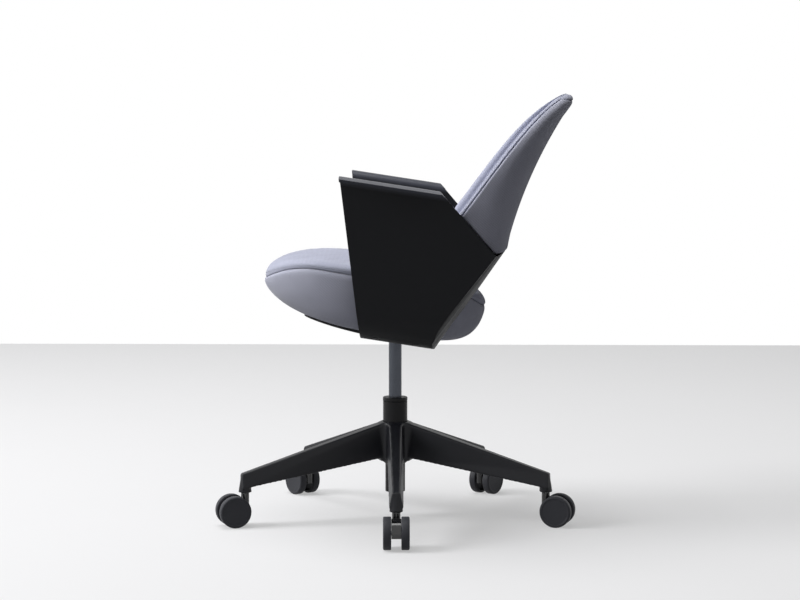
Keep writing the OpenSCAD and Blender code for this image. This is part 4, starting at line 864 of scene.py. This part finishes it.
def inside_shell(flat, z):
    """Below the arm edge, points keep off the inner faces of the shell: the sides are planes that
    flare, and the rear wall is a plane that leans, plus a bulge of 1 - |x / edge|^4 across it."""
    x, y = flat[..., 0], flat[..., 1]
    below = np.clip((edge_height(y) + 3 - z) / 6, 0, 1)
    x_most = SIDE_FOOT_W + (z - SIDE_FOOT_Z) * math.tan(SIDE_FLARE) - WALL_AND_GAP
    t = (z - REAR_FOOT_Z) / math.cos(REAR_LEAN)
    bulge = REAR_BULGE - BULGE_LOSS * t / REAR_RUN
    edge = SIDE_FOOT_W + REAR_WIDENING * t / REAR_RUN
    across = bulge * (1 - np.minimum(1, np.abs(x) / edge)**4) - WALL_AND_GAP
    y_most = REAR_FOOT_Y + (z - REAR_FOOT_Z) * math.tan(REAR_LEAN) + across / math.cos(REAR_LEAN)
    x = x - below * (x - np.clip(x, -x_most, x_most))
    y = y - below * np.maximum(0, y - y_most)
    return np.stack([x, y], -1)


print("the shell's edge at its notch:", float(edge_height(179)), "mm above the axis")

# %% [markdown]
# ## Two leaves from rings
# Each pad of the back is a closed leaf. A ring of columns runs round it, and every column climbs
# from its own lower edge to the top. Both rings are made of the crescent's lines, so that the
# cover and the pad meet along one seam.

# %% Back: rings and leaves
BACK_TOP = FOOT_H + BACK_RISE
SEAM_TOP = 511.0
OUTER_N, COVER_TIPS, PAD_TIPS = 73, 3, 11
SEAM_B = math.radians(SEAM_ANGLE)
ACROSS = np.linspace(-1, 1, OUTER_N)


def below_seam(z, run):
    """1 well below the top seam, falling to 0 at it by the square root of the way left to go."""
    return np.clip((SEAM_TOP - z) / run, 0, 1)**0.5


def cover_ring(z):
    """Ring of the cover: outer line, wing edge, hidden inner side, wing edge; one column per height."""
    tip = np.linspace(0, SEAM_B, COVER_TIPS + 1)[1:]
    a, b, c = OUTER_N, OUTER_N + COVER_TIPS, 2 * OUTER_N + COVER_TIPS
    turn = below_seam(z, 25)
    return np.concatenate([outer_line(z[:, :a], ACROSS[None]),
                           nose_line(z[:, a:b], tip[None] * turn[:, a:b], 1),
                           outer_line(z[:, b:c], -ACROSS[None], COVER_T * below_seam(z[:, b:c], 14)),
                           nose_line(z[:, c:], tip[None, ::-1] * turn[:, c:], -1)], axis=1)


def pad_ring(z):
    """Ring of the pad: hidden outer side, bull nose, inner line, bull nose; one column per height."""
    tip = np.linspace(0, 1, PAD_TIPS + 1)[:-1]
    a, b, c = OUTER_N, OUTER_N + PAD_TIPS, 2 * OUTER_N + PAD_TIPS
    first = np.radians(SEAM_ANGLE + 0.7) * below_seam(z, 25)
    flat = np.concatenate([outer_line(z[:, :a], ACROSS[None], (COVER_T + 0.5) * below_seam(z[:, :a], 14)),
                           nose_line(z[:, a:b], first[:, a:b] + (np.pi - first[:, a:b]) * tip[None], 1),
                           inner_line(z[:, b:c], -ACROSS[None]),
                           nose_line(z[:, c:], first[:, c:] + (np.pi - first[:, c:]) * tip[None, ::-1], -1)],
                          axis=1)
    return inside_shell(flat, z)


LEAF_ROWS = 84


def leaf(name, ring, columns, tips, low_of, top, whole):
    """A closed leaf whose columns run from their own lower edges to a top height; one that isn't
    whole leaves out its last row, where its columns would all meet."""
    low = np.full((1, columns), 260.0)
    for _ in range(80):
        low = 0.6 * low + 0.4 * low_of(ring(low)[..., 0], ring(low)[..., 1], low)
    share = 1 - (1 - np.linspace(0, 1, LEAF_ROWS)[:LEAF_ROWS if whole else -1])**1.7
    z = low + (top - low) * share[:, None]
    nearest = np.argmin(np.abs(z[:, 0] - SEAM_TOP))
    z[nearest] = SEAM_TOP
    points = np.concatenate([ring(z), z[..., None]], -1)
    rows = len(share)
    faces = grid_quads(rows, columns, True).tolist()
    i = np.arange(OUTER_N - 1)
    back = OUTER_N + tips
    rungs = np.stack([i, back + OUTER_N - 1 - i, back + OUTER_N - 2 - i, i + 1], -1)
    right = [OUTER_N - 1, back, *range(back - 1, OUTER_N - 1, -1)]
    left = [0, *range(columns - 1, back + OUTER_N - 2, -1)]
    foot = [*rungs.tolist(), right, left]
    last = (rows - 1) * columns
    faces += foot + [[last + n for n in reversed(face)] for face in foot]
    return close_mesh(make_piece(name, lean_back(points), faces), None), points


# %% [markdown]
# ## Lines for the seams
# The seam climbs both wings and crosses the rear near the top, and a row of stitches follows it
# on the front pad. Each is a line of points on the same formulas as the surface.

# %% Back: lines of the seams


def seam_up(b, side, top, low=230.0):
    """A line up one wing at angle b round its nose, from the arm edge to a top height."""
    z = low + (top - low) * (1 - (1 - np.linspace(0, 1, 400))**2)
    angle = b * below_seam(z, 25) if top == SEAM_TOP else np.full(400, b)
    flat = nose_line(z, angle, side)
    return lean_back(np.column_stack([flat, z]))[z > edge_height(flat[:, 1])]


def across_the_rear():
    """The seam over the back's rear, from wing to wing at the height of the top seam."""
    return lean_back(np.column_stack([outer_line(np.full(300, SEAM_TOP), np.linspace(1, -1, 300)),
                                      np.full(300, SEAM_TOP)]))


def near_top(points, top):
    """1 well below a top height, and 0 from 4 mm under it, so that a pad's tip keeps its shape."""
    return np.clip((top - 4 - points[..., 2]) / 30, 0, 1)


print("points over the rear:", len(across_the_rear()))

# %% [markdown]
# ## The rear cover
# The outer face of the back is a thin padded cover. It ends in the seam near the top, where its
# thickness falls to nothing, and it moves little, so that its long clean line stays.

# %% Rear cover
cover, cover_points = leaf("back_cover_foam", cover_ring, 2 * (OUTER_N + COVER_TIPS), COVER_TIPS,
                           lambda x, y, z: edge_height(y), SEAM_TOP, True)
BACK_SEAM = np.concatenate([seam_up(SEAM_B, 1, SEAM_TOP), across_the_rear(),
                            seam_up(SEAM_B, -1, SEAM_TOP)[::-1]])
columns = 2 * (OUTER_N + COVER_TIPS)
rows = cover_points.shape[0]
shown = np.zeros((rows, columns))
shown[:, :OUTER_N + COVER_TIPS] = 1
shown[:, -COVER_TIPS:] = 1
rise = cover_points[..., 2] - cover_points[:1, :, 2]
free = shown * np.clip(rise / 30, 0, 1) * near_top(cover_points, SEAM_TOP)
cover_free = free.ravel() * np.clip((distance_to(read_points(cover.data), BACK_SEAM) - 0.002) / 0.035, 0, 1)
hold_and_swell(cover, cover_free, inset=0.002, cap=0.0025)
close_mesh(cover, 1e-6)
subdivide_once(cover)
draw_in(cover, BACK_SEAM, depth=0.0013, width=0.0028)
cover.data.materials.append(SIDE_CLOTH)
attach(cover, "upper")
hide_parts("back_cover")

# %% [markdown]
# ## The front pad
# The sitter leans on a fuller pad that rolls round the wings' edges and over the top. Its part
# behind the cover and inside the shell is held, and the rest swells.

# %% Front pad
PAD_LOW = 148.0
pad, pad_points = leaf("back_pad_foam", pad_ring, 2 * (OUTER_N + PAD_TIPS), PAD_TIPS,
                       lambda x, y, z: np.full_like(z, PAD_LOW), BACK_TOP, False)
rise = pad_points[..., 2] - PAD_LOW
shown = np.zeros(pad_points.shape[:2])
shown[:, OUTER_N:] = 1
above = np.clip((pad_points[..., 2] - edge_height(pad_points[..., 1]) - 4) / 25, 0, 1)
inward = np.clip((235 - np.abs(pad_points[..., 0])) / 20, 0, 1) * np.clip((rise - 10) / 30, 0, 1)
pad_free = (shown * np.maximum(above, inward) * near_top(pad_points, BACK_TOP)).ravel()
pad_free *= np.clip((distance_to(read_points(pad.data), BACK_SEAM) - 0.002) / 0.035, 0, 1)
hold_and_swell(pad, pad_free, inset=0.002, cap=0.004)
close_mesh(pad, 1e-6)
subdivide_once(pad)
draw_in(pad, BACK_SEAM, depth=0.0013, width=0.0028)
STITCH_B = math.radians(68)
PAD_STITCH = np.concatenate([seam_up(STITCH_B, 1, BACK_TOP), seam_up(STITCH_B, -1, BACK_TOP)[::-1]])
draw_in(pad, PAD_STITCH, depth=0.0009, width=0.0022)
pad.data.materials.append(SEAT_CLOTH)
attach(pad, "upper")
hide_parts("back_pad")
sew("back_stitch_row", PAD_STITCH, pad, "upper")

# %% [markdown]
# ## The moulded shell, the base and the casters
# These parts are hard mouldings. Their CAD solids already have the right walls, so each is
# dressed with small rounded edges and a grained finish.

# %% Dress the rigid pieces that show
rounded_copy("wrap_shell", 0.0011, SHELL, 3, 28)
rounded_copy("seat_tray", 0.0014, SHELL, 3, 28)
melted_copy("base_star", voxel=0.0018, passes=12, keep=0.5, material=NYLON)
rounded_copy("guide_ring", 0.0005, COLLAR, 2)
rounded_copy("column_tube", 0.0006, COLLAR, 2)
rounded_copy("gas_cylinder", 0.0005, DARK_STEEL, 2)
rounded_copy("mechanism_housing", 0.0015, NYLON, 2)
rounded_copy("lever_handle", 0.002, NYLON, 3)
for k in range(1, 6):
    rounded_copy(f"caster_{k}_hood", 0.0009, HOOD_GLOSS, 3)
    for side in "ab":
        rounded_copy(f"caster_{k}_wheel_{side}", 0.0008, TREAD, 3)

# %% [markdown]
# ## The studio
# The picture was taken in a white studio: a pale floor, a white wall well behind and soft light
# from above and in front. Both sheets look pale to the camera but throw little light back, so
# that the chair's shadow side stays dark.

# %% Floor and wall


def stage_sheet(name, corners, colour, white):
    """A flat sheet of the studio, pale to the eye; the room beyond it throws back little light."""
    piece = make_piece(name, corners, [(0, 1, 2, 3)], False)
    m = Nodes(name + "_paint")
    where = m.add("ShaderNodeTexCoord").outputs["Object"]
    cloud = m.noise(where, 1.6, 3, 0.5)
    ray = m.add("ShaderNodeLightPath")
    seen = m.maths("MAXIMUM", ray.outputs["Is Camera Ray"],
                   m.maths("MAXIMUM", ray.outputs["Is Glossy Ray"], ray.outputs["Is Transmission Ray"]))
    pale = m.colour_mix(cloud, tuple(c * 0.97 for c in colour), colour)
    m.set(Base_Color=m.colour_mix(seen, tuple(c * BOUNCE for c in colour), pale))
    m.set(Roughness=m.between(cloud, 0.75, 0.9), Specular_IOR_Level=0.1)
    glow = m.add("ShaderNodeEmission")
    glow.inputs["Color"].default_value = (1, 1, 1, 1)
    mix = m.add("ShaderNodeMixShader")
    m.wire(m.maths("MULTIPLY", seen, white), mix.inputs[0])
    m.wire(m.shader.outputs[0], mix.inputs[1])
    m.wire(glow.outputs[0], mix.inputs[2])
    out = next(n for n in m.tree.nodes if n.type == "OUTPUT_MATERIAL")
    m.wire(mix.outputs[0], out.inputs[0])
    piece.data.materials.append(m.material)
    return piece


BOUNCE = 0.3
WALL_X = -3.5
stage_sheet("studio_floor", [(WALL_X, -9, 0), (9, -9, 0), (9, 9, 0), (WALL_X, 9, 0)],
            from_screen(222, 222, 224), 0.42)
stage_sheet("studio_wall", [(WALL_X, -9, 0), (WALL_X, 9, 0), (WALL_X, 9, 6), (WALL_X, -9, 6)],
            from_screen(240, 240, 240), 1.0)

# %% [markdown]
# ## The lights
# Two large square lamps, one in front and one above, give soft shadows. The world is white to
# the eye and in reflections, and adds only a little even light.

# %% Lights


def soft_box(name, place, target, size, power):
    """A square lamp of a given side, aimed at a point."""
    lamp = bpy.data.lights.new(name, "AREA")
    lamp.shape, lamp.size, lamp.energy = "SQUARE", size, power
    holder = bpy.data.objects.new(name, lamp)
    holder.location = place
    holder.rotation_euler = (Vector(target) - Vector(place)).to_track_quat("-Z", "Y").to_euler()
    bpy.context.scene.collection.objects.link(holder)


soft_box("light_front", (0.9, -5.0, 3.4), (0, 0, 0.4), 2.6, 300)
soft_box("light_above", (-0.4, -0.9, 5.0), (0, 0, 0.2), 3.2, 150)
world = bpy.data.worlds.new("studio")
world.use_nodes = True
sky = world.node_tree
ray = sky.nodes.new("ShaderNodeLightPath")
either = sky.nodes.new("ShaderNodeMath")
either.operation = "MAXIMUM"
sky.links.new(ray.outputs["Is Camera Ray"], either.inputs[0])
glossy = sky.nodes.new("ShaderNodeMath")
glossy.operation = "MAXIMUM"
sky.links.new(ray.outputs["Is Transmission Ray"], glossy.inputs[0])
sky.links.new(ray.outputs["Is Glossy Ray"], glossy.inputs[1])
sky.links.new(glossy.outputs[0], either.inputs[1])
level = sky.nodes.new("ShaderNodeMapRange")
level.inputs["To Min"].default_value, level.inputs["To Max"].default_value = 0.12, 1.0
sky.links.new(either.outputs[0], level.inputs["Value"])
sky.links.new(level.outputs[0], sky.nodes["Background"].inputs["Strength"])
sky.nodes["Background"].inputs["Color"].default_value = (1, 1, 1, 1)
bpy.context.scene.world = world
bpy.context.scene.view_settings.view_transform = "Standard"
print("lamps:", len(bpy.data.lights))

# %% [markdown]
# ## The camera
# The picture was taken from the chair's left with a long lens, a little above the arms. The place
# and the lens were worked out from the five legs and the casters.

# %% Camera
HEADING, PITCH = 0.0206, 0.0827
EYE_AWAY, EYE_TURN, EYE_HEIGHT = 4.382, 0.0229, 0.822
lens = bpy.data.cameras.new("photo_camera")
lens.lens, lens.sensor_width, lens.sensor_fit = 94.45, 36.0, "HORIZONTAL"
lens.clip_end = 50
eye = bpy.data.objects.new("photo_camera", lens)
eye.location = (EYE_AWAY * math.cos(EYE_TURN), EYE_AWAY * math.sin(EYE_TURN), EYE_HEIGHT)
ahead = Vector((-math.cos(HEADING) * math.cos(PITCH), -math.sin(HEADING) * math.cos(PITCH), -math.sin(PITCH)))
eye.rotation_euler = ahead.to_track_quat("-Z", "Y").to_euler()
bpy.context.scene.collection.objects.link(eye)
bpy.context.scene.camera = eye
print("camera at", tuple(round(v, 3) for v in eye.location))
